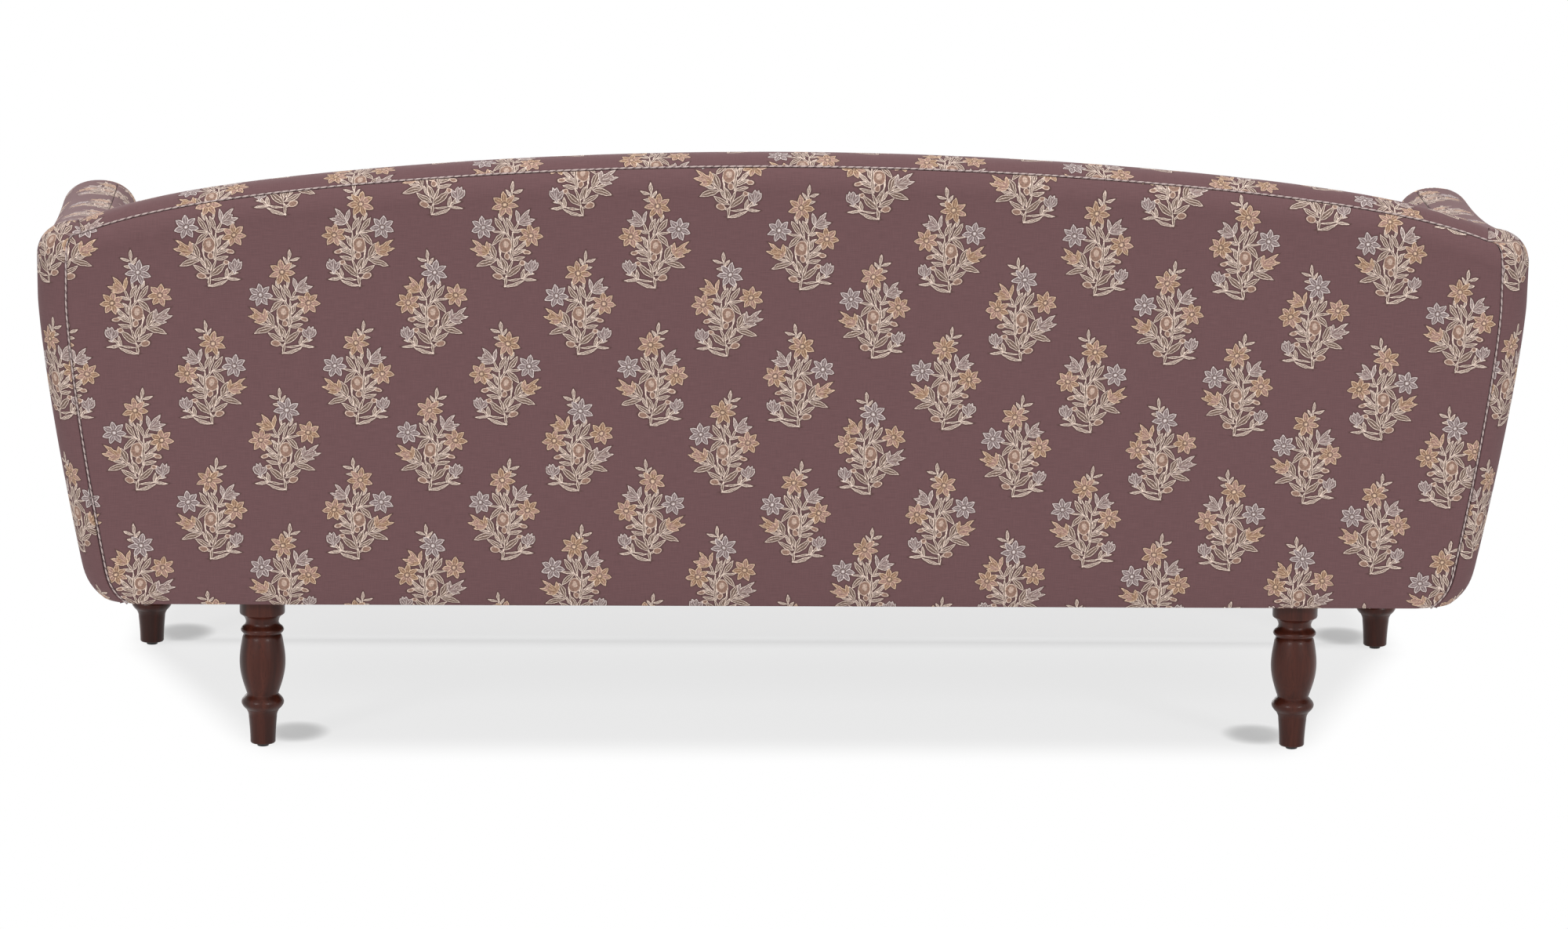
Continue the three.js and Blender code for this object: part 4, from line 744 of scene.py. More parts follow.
# The half-drop print. Columns are half a repeat wide, every second column is dropped by half a
# repeat, and each cell picks one of three colourings; one of them is drawn turned left to right.
def sprigPrintGroup():
    tree, given, out = nodeGroup("sprigPrint", {"Vector": None}, {"Color": "Color", "Ink": "Float"})
    leafTrio, ovalTrio, starFlower = leafTrioGroup(), ovalTrioGroup(), starFlowerGroup()
    width, height = sprig["repeat"][0] / 2, sprig["repeat"][1]
    millimetres = node("Mapping", {"vector_type": "POINT"}, Vector=given["Vector"], Scale=(1000, 1000, 1000),
                       Rotation=(0, 0, math.radians(-sprig["tilt"])))
    place = millimetres - (*sprig["start"], 0)
    wobble, reach = noise(place, *sprig["noise"]["wobble"]).other("Color"), sprig["wobble"]
    place = place + timesPlus(wobble, (2 * reach, 2 * reach, 0), (-reach, -reach, 0))
    across, up, _ = split(place)
    column = maths("FLOOR", across / width + 0.5)
    odd = column % 2.0
    x = across - column * width
    dropped = timesPlus(odd, sprig["drop"], up)
    row = maths("FLOOR", dropped / height + 0.5)
    y = dropped - row * height
    turned = (maths("FLOOR", column * 0.5) + row) % 2.0
    second = larger(odd, turned)  # 0 where the top flower is the white one
    x = x * timesPlus(turned, -2.0, 1.0)
    x3, y3 = (node("CombineXYZ", X=value, Y=value, Z=value) for value in (x, y))
    local = node("CombineXYZ", X=x, Y=y)

    leaves, ribs = leafUnion(leafTrio, x3, y3, sprig["leaves"], sprig["slim"])
    stems, _ = leafUnion(leafTrio, x3, y3, sprig["stems"])
    leaf = larger(largest(leaves), largest(stems))
    rib = largest(ribs)
    bells, bellRibs = leafUnion(leafTrio, x3, y3, sprig["petals"], sprig["bellSlim"])
    leftBell, rightBell, tuft = split(bells)
    ovals = []
    for k in (0, 3):
        table = np.array(sprig["ovals"][k:k + 3], dtype=float)
        own = frameInputs(table[:, 0:2], table[:, 2], table[:, 3], np.radians(table[:, 4]))
        ovals.append(useGroup(ovalTrio, {"X": x3, "Y": y3, **own})["Inside"])
    sideBud, roseHeart, lowBud = split(ovals[1])
    oval = larger(largest(ovals[0]), sideBud, lowBud)

    flowers = sprig["flowers"]
    isLeft = x < 0.0
    isTop = y > timesPlus(abs(x), *sprig["topFlowerAbove"])
    centre = (*flowers["right"][:2], 0.0)
    for share, key in ((isLeft, "left"), (isTop, "top")):
        centre = blended(share, centre, (*flowers[key][:2], 0.0), "VECTOR")
    radius = timesPlus(isTop, flowers["top"][2] - flowers["left"][2], flowers["left"][2])
    flower = useGroup(starFlower, {
        "Vector": local, "Centre": centre, "Radius": radius, "Petals": float(sprig["petalCount"]),
        "Turn": sprig["petalTurn"], "Petal Width": sprig["petalWidth"]})
    whiteSide = second * (1.0 - isLeft)
    firstKind = 1.0 - second
    petal, white, whites = flower["Inside"], blended(isTop, whiteSide, firstKind, "FLOAT"), sprig["white"]
    for inside, share in ((leftBell, second * whites["leftBell"]), (rightBell, firstKind * whites["rightBell"]),
                          (tuft, whites["tuft"])):
        white = blended(inside > petal, white, share, "FLOAT")
        petal = larger(petal, inside)

    ink = {key: sRgb(*value) for key, value in printInk.items()}
    edge = {key: lambda value, limits=limits: ramp(value, *limits) for key, limits in inkEdge.items()}
    anyInside = larger(leaf, petal, oval)
    colour = blended(edge["shade"](anyInside), ink["ground"], ink["shade"])
    leafColour = blended(edge["leafFill"](leaf), ink["leafEdge"], ink["leafFill"])
    leafColour = blended(edge["rib"](rib), leafColour, ink["leafEdge"])
    colour = blended(edge["figure"](leaf), colour, leafColour)
    budColour = blended(edge["budFill"](oval), ink["budEdge"], ink["budFill"])
    budColour = blended(edge["roseHeart"](roseHeart), budColour, ink["budEdge"])
    colour = blended(edge["bud"](oval), colour, budColour)
    tan = blended(edge["blush"](noise(place, *sprig["noise"]["blush"])), ink["tanFill"], ink["blush"])
    petalFill = blended(white, tan, ink["whiteFill"])
    petalEdge = blended(white, ink["tanEdge"], ink["whiteEdge"])
    petalColour = blended(edge["petalFill"](petal), petalEdge, petalFill)
    onFlower = flower["Inside"] > 0.0
    outside = flower["Distance"] > sprig["heart"]
    gaps = edge["gap"](flower["Gap"]) * outside
    veins = larger(edge["vein"](flower["Vein"]), gaps) * onFlower
    veins = larger(veins, edge["bellRib"](largest(bellRibs)) * (1.0 - onFlower))
    petalColour = blended(veins, petalColour, petalEdge)
    heartRing = abs(flower["Distance"] - sprig["heart"])
    petalColour = blended(edge["heart"](heartRing), petalColour, ink["heart"])
    colour = blended(edge["figure"](petal), colour, petalColour)
    # uneven ink inside the figures, none on the ground
    printed = edge["figure"](anyInside)
    uneven = timesPlus(noise(place, *sprig["noise"]["uneven"]) - 0.5, sprig["unevenInk"], 1.0)
    feed(out["Color"], shaded(colour, timesPlus(uneven - 1.0, printed, 1.0)))
    feed(out["Ink"], printed)
    return tree


# Woven cloth: slubs are noise drawn out along the warp and along the weft.
def clothWeaveGroup():
    tree, given, out = nodeGroup("clothWeave", {"Vector": None, "Thread": 900.0, "Slub": 0.06},
                                 {"Shade": "Float", "Height": "Float"})
    weft = node("Mapping", Vector=given["Vector"], Scale=(0.035, 1.0, 1.0))
    warp = node("Mapping", Vector=given["Vector"], Scale=(1.0, 0.035, 1.0))
    weftNoise, warpNoise = (noise(way, given["Thread"], 2.0) for way in (weft, warp))
    both = weftNoise * 0.6 + warpNoise * 0.4
    spread = (both - 0.5) * given["Slub"]
    feed(out["Shade"], spread * 6.0 + 1.0)
    feed(out["Height"], both)
    return tree


clothWeave = clothWeaveGroup()
sprigPrint = sprigPrintGroup()


def printedClothMaterial():
    made, tree, surface = newMaterial("printedCloth")
    cloth = node("UVMap", {"uv_map": "clothMap"}, tree)
    weave = useGroup(clothWeave, {"Vector": cloth, "Thread": 1400.0, "Slub": 0.1})
    drawn = useGroup(sprigPrint, {"Vector": cloth})
    feedAll(surface, {
        "Base Color": shaded(drawn["Color"], weave["Shade"]), "Roughness": timesPlus(drawn["Ink"], -0.06, 0.92),
        "Sheen Weight": 0.05, "Sheen Roughness": 0.4, "Specular IOR Level": 0.2,
        "Normal": bumped(weave["Height"], 0.25, 0.0004)})
    return made


weltLook = {
    "light": (192, 174, 170), "dark": (98, 74, 76), "twist": 0.011, "patches": (28.0, 3.0), "patchy": (3.0, -1.5),
    "stripe": (-1.1, -0.1),
}


# Piping: threads wind round the cord, so the stripe is a sine of length plus turn.
def weltMaterial():
    made, tree, surface = newMaterial("weltCord")
    cloth = node("UVMap", {"uv_map": "clothMap"}, tree)
    along, turn, _ = split(cloth)
    wave = maths("SINE", (along / weltLook["twist"] + turn) * (2 * math.pi))
    patchy = timesPlus(noise(cloth, *weltLook["patches"]), *weltLook["patchy"])
    stripe = ramp(wave + patchy, *weltLook["stripe"])
    feedAll(surface, {
        "Base Color": blended(stripe, sRgb(*weltLook["dark"]), sRgb(*weltLook["light"])),
        "Roughness": timesPlus(stripe, -0.08, 0.9), "Normal": bumped(wave, 0.5, 0.0006)})
    return made


# Wood: rings are noise drawn out along the grain, pores a finer noise of the same kind.
def woodGrainGroup():
    tree, given, out = nodeGroup("woodGrain", {
        "Vector": None, "Ring Scale": 60.0, "Pore Scale": 700.0, "Dark": (0.1, 0.05, 0.03, 1),
        "Middle": (0.2, 0.1, 0.07, 1), "Light": (0.3, 0.2, 0.1, 1),
    }, {"Color": "Color", "Pores": "Float"})
    long = node("Mapping", Vector=given["Vector"], Scale=(1.0, 1.0, 0.06))
    rings = noise(long, given["Ring Scale"], 4.0, "3D", Distortion=0.6)
    fine = node("Mapping", Vector=given["Vector"], Scale=(1.0, 1.0, 0.03))
    pores = noise(fine, given["Pore Scale"], 2.0, "3D")
    body = blended(ramp(rings, 0.32, 0.55), given["Dark"], given["Middle"])
    body = blended(ramp(rings, 0.5, 0.72), body, given["Light"])
    feed(out["Color"], blended(ramp(pores, 0.5, 0.68, 0.0, 0.5), body, given["Dark"]))
    feed(out["Pores"], pores)
    return tree


woodGrain = woodGrainGroup()


def woodMaterial(name, dark, middle, light, rough, turn=(0, 0, 0), coat=0.0, ringScale=60.0, gloss=0.4):
    made, tree, surface = newMaterial(name)
    turned = node("Mapping", Vector=node("TexCoord", tree=tree).other("Object"), Rotation=turn)
    grain = useGroup(woodGrain, {"Vector": turned, "Ring Scale": ringScale, "Dark": sRgb(*dark),
                                 "Middle": sRgb(*middle), "Light": sRgb(*light)})
    feedAll(surface, {
        "Base Color": grain["Color"], "Roughness": timesPlus(grain["Pores"], 0.25, rough - 0.12),
        "Coat Weight": coat, "Specular IOR Level": gloss, "Coat Roughness": 0.22,
        "Normal": bumped(grain["Pores"], 0.12, 0.0003)})
    return made


# Plain finishes: a colour that wanders between two shades by noise, with a fine grain in the bump.
def speckGroup():
    tree, given, out = nodeGroup("speck", {
        "Vector": None, "Scale": 200.0, "Stretch": (1.0, 1.0, 1.0), "First": (0.1, 0.1, 0.1, 1),
        "Second": (0.2, 0.2, 0.2, 1),
    }, {"Color": "Color", "Height": "Float"})
    coarse = noise(given["Vector"] * given["Stretch"], given["Scale"], 5.0, "3D", Roughness=0.6)
    feed(out["Color"], blended(ramp(coarse, 0.35, 0.65), given["First"], given["Second"]))
    feed(out["Height"], coarse)
    return tree


speck = speckGroup()


def plainMaterial(name, first, second, scale, rough, metal=0.0, stretch=(1, 1, 1), bump=0.3, depth=0.0004):
    made, tree, surface = newMaterial(name)
    marks = useGroup(speck, {"Vector": node("TexCoord", tree=tree).other("Object"), "Scale": scale,
                             "Stretch": stretch, "First": sRgb(*first), "Second": sRgb(*second)})
    feedAll(surface, {
        "Base Color": marks["Color"], "Roughness": timesPlus(marks["Height"], 0.2, rough - 0.1),
        "Metallic": metal, "Normal": bumped(marks["Height"], bump, depth)})
    return made


quarter = math.pi / 2
beech = ((150, 112, 74), (186, 148, 104), (206, 172, 128), 0.7)
printedCloth = printedClothMaterial()
weltCord = weltMaterial()
legWood = woodMaterial("legWood", (54, 23, 15), (72, 32, 22), (84, 40, 28), 0.34, coat=0.08, ringScale=55.0,
                       gloss=0.22)
plainWood = {axis: woodMaterial("beechAlong" + axis.upper(), *beech, turn) for axis, turn in
             (("x", (0, quarter, 0)), ("y", (quarter, 0, 0)), ("z", (0, 0, 0)))}
steel = plainMaterial("zincSteel", (128, 131, 136), (166, 169, 173), 180.0, 0.38, 1.0, (1, 1, 6), 0.1)
glideNylon = plainMaterial("glideNylon", (14, 14, 14), (30, 29, 29), 300.0, 0.5)
blackCloth = plainMaterial("blackCloth", (22, 21, 22), (44, 42, 43), 900.0, 0.95, bump=0.6)
jute = plainMaterial("juteWebbing", (112, 92, 58), (166, 142, 98), 420.0, 0.95, stretch=(1, 4, 1), bump=0.6)
zipTape = plainMaterial("zipTape", (74, 54, 58), (108, 84, 88), 900.0, 0.85, stretch=(3, 1, 1), bump=0.5)
print("materials made")

# Covers. Each dictionary holds how fine the grid is, where the print starts on the cloth (or where one
# of its sprigs has its middle), and how much closer the columns stand towards the ends.

covers = {
    "lowRows": 9, "fill": 0.9,
    "outsideBack": {"columns": 150, "wallRows": 60, "capRows": 7, "print": (0.0, 0.0), "gather": 0.86,
                    "flat": (2.04, 0.62)},
    "topBorder": {"columns": 150, "rows": 14, "sprig": (-0.59, 0.008), "gather": 0.9, "seams": (0.009, 0.004)},
    "insideBack": {"columns": 130, "wallRows": 50, "capRows": 8, "print": (0.0, 0.04), "gather": 0.9,
                   "seam": 0.006},
    "outsideArm": {"columns": (56, 18), "wallRows": 50, "capRows": 22, "sprig": (0.026, 0.5595),
                   "cornerGap": 0.0022, "endGap": 0.0016},
    "armTop": {"columns": 70, "rows": 16, "sprig": (0.088, -0.1), "farShares": (0.502, 0.618)},
    "insideArm": {"columns": 60, "wallRows": 34, "capRows": 10, "print": (0.03, 0.05)},
    "armFront": {"across": 14, "rows": 56, "capPoints": 33, "rings": 9, "crown": 0.0045, "roll": 0.0018,
                 "tail": (0.006, 0.0016), "proud": 0.001, "print": (0.052, 0.06), "middleX": 1.0},
    "frontBorder": {"columns": 90, "rows": 16, "print": (0.0, 0.02), "edge": 0.012, "onDeck": (0.02, 0.036),
                    "roll": 0.0018, "turnIn": 0.006},
    "deck": {"columns": 60, "rows": 30, "sideGap": 0.0005, "front": 0.037, "rearY": 0.30, "roll": 0.0008,
             "turnIn": 0.0018, "cut": 0.70},
}


# A cover joins the frame's body, and the solids that it stands for are hidden.
def finishCover(piece, nodes):
    fitted(piece, "frame", "printed_cloth", *nodes)


# From -1 to 1 as a sine, so that the columns stand closer towards both ends.
def gathered(look):
    turn = np.linspace(-1, 1, look["columns"]) * np.pi / 2 * look["gather"]
    return np.sin(turn) / math.sin(np.pi / 2 * look["gather"])


def shifted(clothMap, place, flip=1):
    return clothMap * np.array([flip, 1]) + np.array(place)


# The shift that puts the middle of a sprig, counted in columns and rows, at a place of the cloth.
def sprigAt(place, column=0, row=0):
    width, height = sprig["repeat"]
    x = sprig["start"][0] + column * width / 2
    y = sprig["start"][1] + row * height - (column % 2) * sprig["drop"]
    c, s = math.cos(math.radians(sprig["tilt"])), math.sin(math.radians(sprig["tilt"]))
    return (c * x - s * y) / 1000 - place[0], (s * x + c * y) / 1000 - place[1]


def outsideBackCover():
    look = covers["outsideBack"]
    endX = rearHalf - form["seamHigh"] - form["seamHalf"]
    x = (gathered(look) * endX)[:, None]
    foot = backRidge(x) - form["capRise"]
    top = weltLineZ(x, form["seamHalf"])
    low = mix(form["underside"], tuckTop, np.linspace(0, 1, covers["lowRows"])[None, :-1])
    wall = mix(tuckTop, foot, np.linspace(0, 1, look["wallRows"])[None, :-1])
    cap = mix(foot, top, np.linspace(0, 1, look["capRows"])[None, :])
    z = np.concatenate([low + 0 * x, wall, cap], axis=1)
    reach = (weltX(z) - form["seamHalf"]) / endX
    grid = turnedIn(rearPoint(x * reach, z), -1)
    clothMap = np.stack([-grid[..., 0], layFlat(grid, 0, turnedRows)[..., 1]], axis=-1)
    piece = clothPiece("outsideBack", grid, -1, shifted(clothMap, look["print"]), printedCloth)
    finishCover(piece, ["outside_back_cover"])


def topBorderCover():
    look = covers["topBorder"]
    u, (outer, inner) = gathered(look)[:, None], look["seams"]
    share = np.linspace(form["weltShare"] + outer, form["backSeamShare"] - inner, look["rows"])[None, :]
    grid = turnedIn(backCapPoint(u * (borderEndX(share) - form["crease"]), share), -1)
    lengths = layFlat(grid, grid.shape[0] // 2, turnedRows)
    piece = clothPiece("topBorder", grid, -1, shifted(lengths, sprigAt(look["sprig"]), -1), printedCloth)
    finishCover(piece, ["top_border_cover"])


# Inside back: over the cap at a share of it, and below share 1 down the wall at a level from 1 to 0.
def backInnerPoint(u, share, level):
    probe = float(armInnerX(form["deck"], seatBackY))
    capPoint = backCapPoint(u * (borderEndX(share) - form["crease"]), share)
    z = mix(form["deck"] + form["seamGap"], backRidge(u * probe) - form["capRise"], level)
    x = u * (armInnerX(z, backInnerY(probe, z)) - form["crease"])
    height = mix(form["deck"] + form["seamGap"], backRidge(x) - form["capRise"], level)
    wallPoint = stacked(x, backInnerY(x, height), height)
    return np.where((share < 1)[..., None], capPoint, wallPoint)


def insideBackCover():
    look = covers["insideBack"]
    cap = np.linspace(form["backSeamShare"] + look["seam"], 1, look["capRows"])[:-1]
    wall = np.linspace(1, 0, look["wallRows"])
    share = np.concatenate([cap, np.ones(len(wall))])[None, :]
    level = np.concatenate([np.ones(len(cap)), wall])[None, :]
    grid = turnedIn(backInnerPoint(gathered(look)[:, None], share, level), -1)
    clothMap = layFlat(grid, grid.shape[0] // 2, -1 - turnedRows) * (1, -1)
    piece = clothPiece("insideBack", grid, -1, shifted(clothMap, look["print"]), printedCloth)
    finishCover(piece, ["inside_back_cover", "inside_back_pad"])


# The two seams on top of the arm: the inner one slips a little, and the outer one, which runs along
# the arm's edge, sweeps over to the crest before the shoulder. Both slip as a smooth step.
def armSeamAt(u):
    return mix(form["armSeamShare"], 0.62, eased((u - 0.8) / 0.2))


def armEdgeSeamAt(u):
    return mix(form["armEdgeShare"], 0.5, eased((u - 0.86) / 0.14))


# How far along its path the outside arm cover reaches: up to the panel's side seam, round the welt's
# bend, and along the end of the top border.
def armCoverEnd(z, wallZ, inset, share):
    radius = form["seamBend"] + form["seamHalf"]
    widen = (float(weltX(weltBendZ)) - weltBendX) / form["seamBend"]
    bend = weltBendX + widen * np.sqrt(np.maximum(0, radius**2 - (z - weltBendZ) ** 2))
    x = np.where(z > weltBendZ, bend, weltX(z) + form["seamHalf"])
    x = np.where(share > form["weltShare"], borderEndX(share) - covers["outsideArm"]["endGap"], x)
    centreX = sideX(wallZ, shoulderY) - form["corner"]
    reach = (x - centreX) / (form["corner"] - inset)
    onCorner = 1 + np.arccos(np.clip(reach, -1, 1)) / (np.pi / 2)
    return np.where(reach >= 0, onCorner, 2 - (x - centreX) / centreX)


def outsideArmCovers():
    look, lowRows = covers["outsideArm"], covers["lowRows"] - 1
    column = np.concatenate([np.linspace(0, 1, look["columns"][0])[:-1],
                             np.linspace(1, 2, look["columns"][1])])[:, None]
    straight = np.minimum(column, 1)
    lowShare = np.linspace(0, 1, covers["lowRows"])[None, :-1]
    wallShare = np.linspace(0, 1, look["wallRows"])[None, :-1]
    capShare = np.linspace(0, 1, look["capRows"])[None, :] * (armEdgeSeamAt(straight) - form["seamGap"])
    insetOnCap, rise = capAt(capShare)
    below = np.zeros((len(column), lowRows + wallShare.shape[1]))
    share, inset = (np.concatenate([below, top], axis=1) for top in (capShare, insetOnCap))
    inset = np.where(column > 1, np.minimum(inset, form["corner"] - look["cornerGap"]), inset)
    foot = armRidge(mix(frontY, shoulderY, straight)) - form["capRise"] + 0 * share
    # the ridge of the back is higher than the arm's, so round the corner each place takes its own
    for _ in range(3):
        low = mix(form["underside"], tuckTop, lowShare) + 0 * straight
        wall = mix(tuckTop, foot[:, lowRows:lowRows + wallShare.shape[1]], wallShare)
        z = np.concatenate([low, wall, foot[:, -look["capRows"]:] + rise], axis=1)
        wallZ = np.minimum(z, foot)
        end = armCoverEnd(z, wallZ, inset, share)
        path = np.where(column <= 1, column + 0 * z, mix(1, end, column - 1))
        grid = outerPointFull(path, z, wallZ, inset)
        ridge = backRidge(np.minimum(grid[..., 0], shoulderX)) - form["capRise"]
        foot = np.where(column > 1, ridge, foot)
    grid = turnedIn(grid, 1)
    onArm = grid[..., 1] < shoulderY
    crest = np.where(onArm, armRidge(grid[..., 1]), backRidge(np.minimum(grid[..., 0], shoulderX)))
    grid[..., 2] = np.minimum(grid[..., 2], crest)
    lengths = layFlat(grid, -1 - turnedRows, turnedRows)
    for side, name in bothSides:
        place = (-side * look["sprig"][0], look["sprig"][1])
        clothMap = shifted(lengths, sprigAt(place, 1), side)
        piece = clothPiece("outsideArm_" + name, handed(grid, side), side, clothMap, printedCloth)
        finishCover(piece, ["outside_arm_cover_" + name])


# As outerPoint, with the straight run of the back after the corner.
def outerPointFull(path, z, wallZ, inset):
    first = outerPoint(np.minimum(path, 2), z, wallZ, inset)
    centreX = sideX(wallZ, backY(wallZ) - form["corner"]) - form["corner"]
    beyond = stacked(mix(centreX, 0, np.maximum(path - 2, 0)), backY(wallZ) - inset, z)
    return np.where((path > 2)[..., None], beyond, first)


# Where the arm's cap ends at the inside back.
def capEndY(share):
    far = armCapPoint(share, shoulderY)
    return backInnerY(far[..., 0], far[..., 2]) - form["crease"]


# The panel on top of the arm, between the two seams; its sprigs point to the front.
def armTopCovers():
    look = covers["armTop"]
    u = np.linspace(0, 1, look["columns"])[:, None]
    v = np.linspace(0, 1, look["rows"])[None, :]
    share = mix(armEdgeSeamAt(u) + form["seamGap"], armSeamAt(u) - form["seamGap"], v)
    y = mix(frontY + form["armStart"], capEndY(mix(*look["farShares"], v)), u)
    grid = turnedIn(armCapPoint(share, y), 1)
    lengths = layFlat(grid, turnedRows, turnedRows)[..., ::-1]
    for side, name in bothSides:
        place = (side * look["sprig"][0], look["sprig"][1])
        clothMap = shifted(lengths * (side, -1), sprigAt(place, 1))
        piece = clothPiece("armTop_" + name, handed(grid, side), side, clothMap, printedCloth)
        finishCover(piece, ["outside_arm_cover_" + name])


def insideArmCovers():
    look, startY = covers["insideArm"], frontY + form["armStart"]
    u = np.linspace(0, 1, look["columns"])[:, None]
    share = mix(armSeamAt(u) + form["seamGap"], 1, np.linspace(0, 1, look["capRows"])[None, :-1])
    cap = armCapPoint(share, mix(startY, capEndY(share), u))
    level = np.linspace(1, 0, look["wallRows"])[None, :]
    z = mix(form["deck"] + form["seamGap"], armRidge(mix(startY, shoulderY, u)) - form["capRise"], level)
    y = mix(startY, backInnerY(armInnerX(z, shoulderY), z) - form["crease"], u)
    grid = turnedIn(np.concatenate([cap, stacked(armInnerX(z, y), y, z)], axis=1), 1)
    lengths = layFlat(grid, turnedRows, -1 - turnedRows)
    for side, name in bothSides:
        clothMap = shifted(lengths * (-side, -1), look["print"])
        piece = clothPiece("insideArm_" + name, handed(grid, side), side, clothMap, printedCloth)
        finishCover(piece, ["inside_arm_cover_" + name, "arm_pad_" + name])


# The arm's front: rings from its outline in to a line up the middle, stuffed out as a power of
# a quarter sine of the way in; the outermost rings turn back into the seam.
def armFrontCovers():
    look = covers["armFront"]
    top = form["armFront"] - form["capRise"]
    side = mix(form["underside"], top, np.linspace(0, 1, look["rows"]))
    capIn, capUp = capAt(np.linspace(0, 1, look["capPoints"])[1:-1])
    outer, inner = sideX(side, frontY), armInnerX(np.maximum(side, form["deck"]), frontY)
    base = mix(inner[0], outer[0], np.linspace(0, 1, look["across"])[1:-1])
    line = np.stack([np.concatenate([outer, outer[-1] - capIn, inner[::-1], base]),
                     np.concatenate([side, top + capUp, side[::-1], 0 * base + form["underside"]])], axis=1)
    ahead = np.roll(line, -1, 0) - np.roll(line, 1, 0)
    out = np.stack([ahead[:, 1], -ahead[:, 0]], axis=1) / np.linalg.norm(ahead, axis=1, keepdims=True)
    roll, turn = look["roll"], np.linspace(np.pi / 2, 0, turnedRows)
    inset = np.concatenate([look["tail"], roll * (1 - np.sin(turn))])
    behind = np.concatenate([[1.9 * roll, 1.8 * roll], roll * (1 - np.cos(turn))])
    edge = line - out * inset[:, None, None]
    spineZ = np.clip(line[:, 1], form["underside"] + form["wall"] / 2, top)
    spineX = np.interp(spineZ, side, (outer + inner) / 2)
    way = np.linspace(0, 1, look["rings"])[1:, None, None]
    face = mix(edge[-1], np.stack([spineX, spineZ], axis=1), way)
    swelling = look["crown"] * np.sin(np.pi / 2 * way[:, :, 0]) ** 0.8 + 0 * spineX
    flat = np.concatenate([edge, face])
    y = np.concatenate([behind[:, None] + 0 * spineX, -swelling]) + frontY - look["proud"]
    grid = stacked(flat[..., 0], y, flat[..., 1])
    faces = gridQuads(grid.shape[0], grid.shape[1], False, True)[:, ::-1]
    for hand, name in bothSides:
        clothMap = shifted(flat - (look["middleX"], form["underside"]), look["print"], hand)
        piece = newPiece("armFront_" + name, handed(grid, hand), facing(faces, hand), printedCloth, clothMap)
        thickened(reworked(piece, mergeDoubles))
        finishCover(piece, ["arm_front_cover_" + name])


# Up the front rail, a quarter circle over its edge, and a little way onto the deck.
def frontBorderCover():
    look = covers["frontBorder"]
    half, radius = float(armInnerX(form["deck"], frontY)) - form["crease"], look["edge"]
    x = np.linspace(-half, half, look["columns"])[:, None]
    turn = np.linspace(0, np.pi / 2, 7)[1:]
    y = np.concatenate([np.full(look["rows"], frontY), frontY + radius * (1 - np.cos(turn)),
                        frontY + np.array(look["onDeck"])])
    z = np.concatenate([np.linspace(form["underside"], form["deck"] - radius, look["rows"]),
                        form["deck"] - radius * (1 - np.sin(turn)), [form["deck"]] * 2])
    grid = turnedIn(stacked(x, y[None, :], z[None, :]), 1, look["roll"], look["turnIn"])
    lengths = layFlat(grid, grid.shape[0] // 2, turnedRows)
    piece = clothPiece("frontBorder", grid, 1, shifted(lengths, look["print"]), printedCloth)
    finishCover(piece, ["front_border_cover"])


def deckCover():
    look = covers["deck"]
    half = parts["deck_cover"].dimensions.x / 2 - look["sideGap"]
    x = np.linspace(-half, half, look["columns"])[:, None]
    y = np.linspace(frontY + look["front"], look["rearY"], look["rows"])[None, :]
    grid = turnedIn(stacked(x, y, form["deck"]), 1, look["roll"], look["turnIn"])
    piece = clothPiece("deckCloth", grid, 1, grid[..., :2], printedCloth)
    finishCover(piece, ["deck_cover", "deck_pad"])


for makeCovers in (outsideBackCover, topBorderCover, insideBackCover, outsideArmCovers, armTopCovers,
                   insideArmCovers, armFrontCovers, frontBorderCover, deckCover):
    makeCovers()
print("covers made")

# Piping along the back panel's seam: up the side, round the bend and over the hump, and mirrored

backWeltForm = {"sunk": 0.35, "points": (220, 24, 260), "step": 0.0035, "sides": 10}


def weltPath():
    lift, (sidePoints, bendPoints, crownPoints) = form["weltRadius"] * backWeltForm["sunk"], backWeltForm["points"]
    side = np.linspace(form["underside"], weltBendZ, sidePoints)
    turn = np.linspace(0, np.pi / 2, bendPoints)[1:]
    crown = np.linspace(weltBendX, 0, crownPoints)[1:]
    up = rearPoint(weltX(side), side, lift)
    endX = float(weltX(weltBendZ))
    bendX = weltBendX + (endX - weltBendX) * np.cos(turn)
    bend = rearPoint(bendX, weltBendZ + form["seamBend"] * np.sin(turn), lift)
    over = rearPoint(crown, weltLineZ(crown, 0), lift)
    half = np.concatenate([up, bend, over])
    return evenly(np.concatenate([half, handed(half[-2::-1], -1)]), backWeltForm["step"])


# The same line with points a steady distance apart.
def evenly(path, step, closed=False):
    if closed:
        path = np.concatenate([path, path[:1]])
    length = lengthsAlong(path)
    places = np.linspace(0, length[-1], int(round(length[-1] / step)) + 1)
    places = places[:-1] if closed else places
    return np.stack([np.interp(places, length, path[:, k]) for k in range(3)], axis=1)


fitted(tubePiece("backWelt", weltPath(), form["weltRadius"], backWeltForm["sides"], weltCord),
       "frame", "welt_cloth", "back_welt")
print("piping made")

# Turned legs. Heights are shares of the top's height, and radii are in metres.

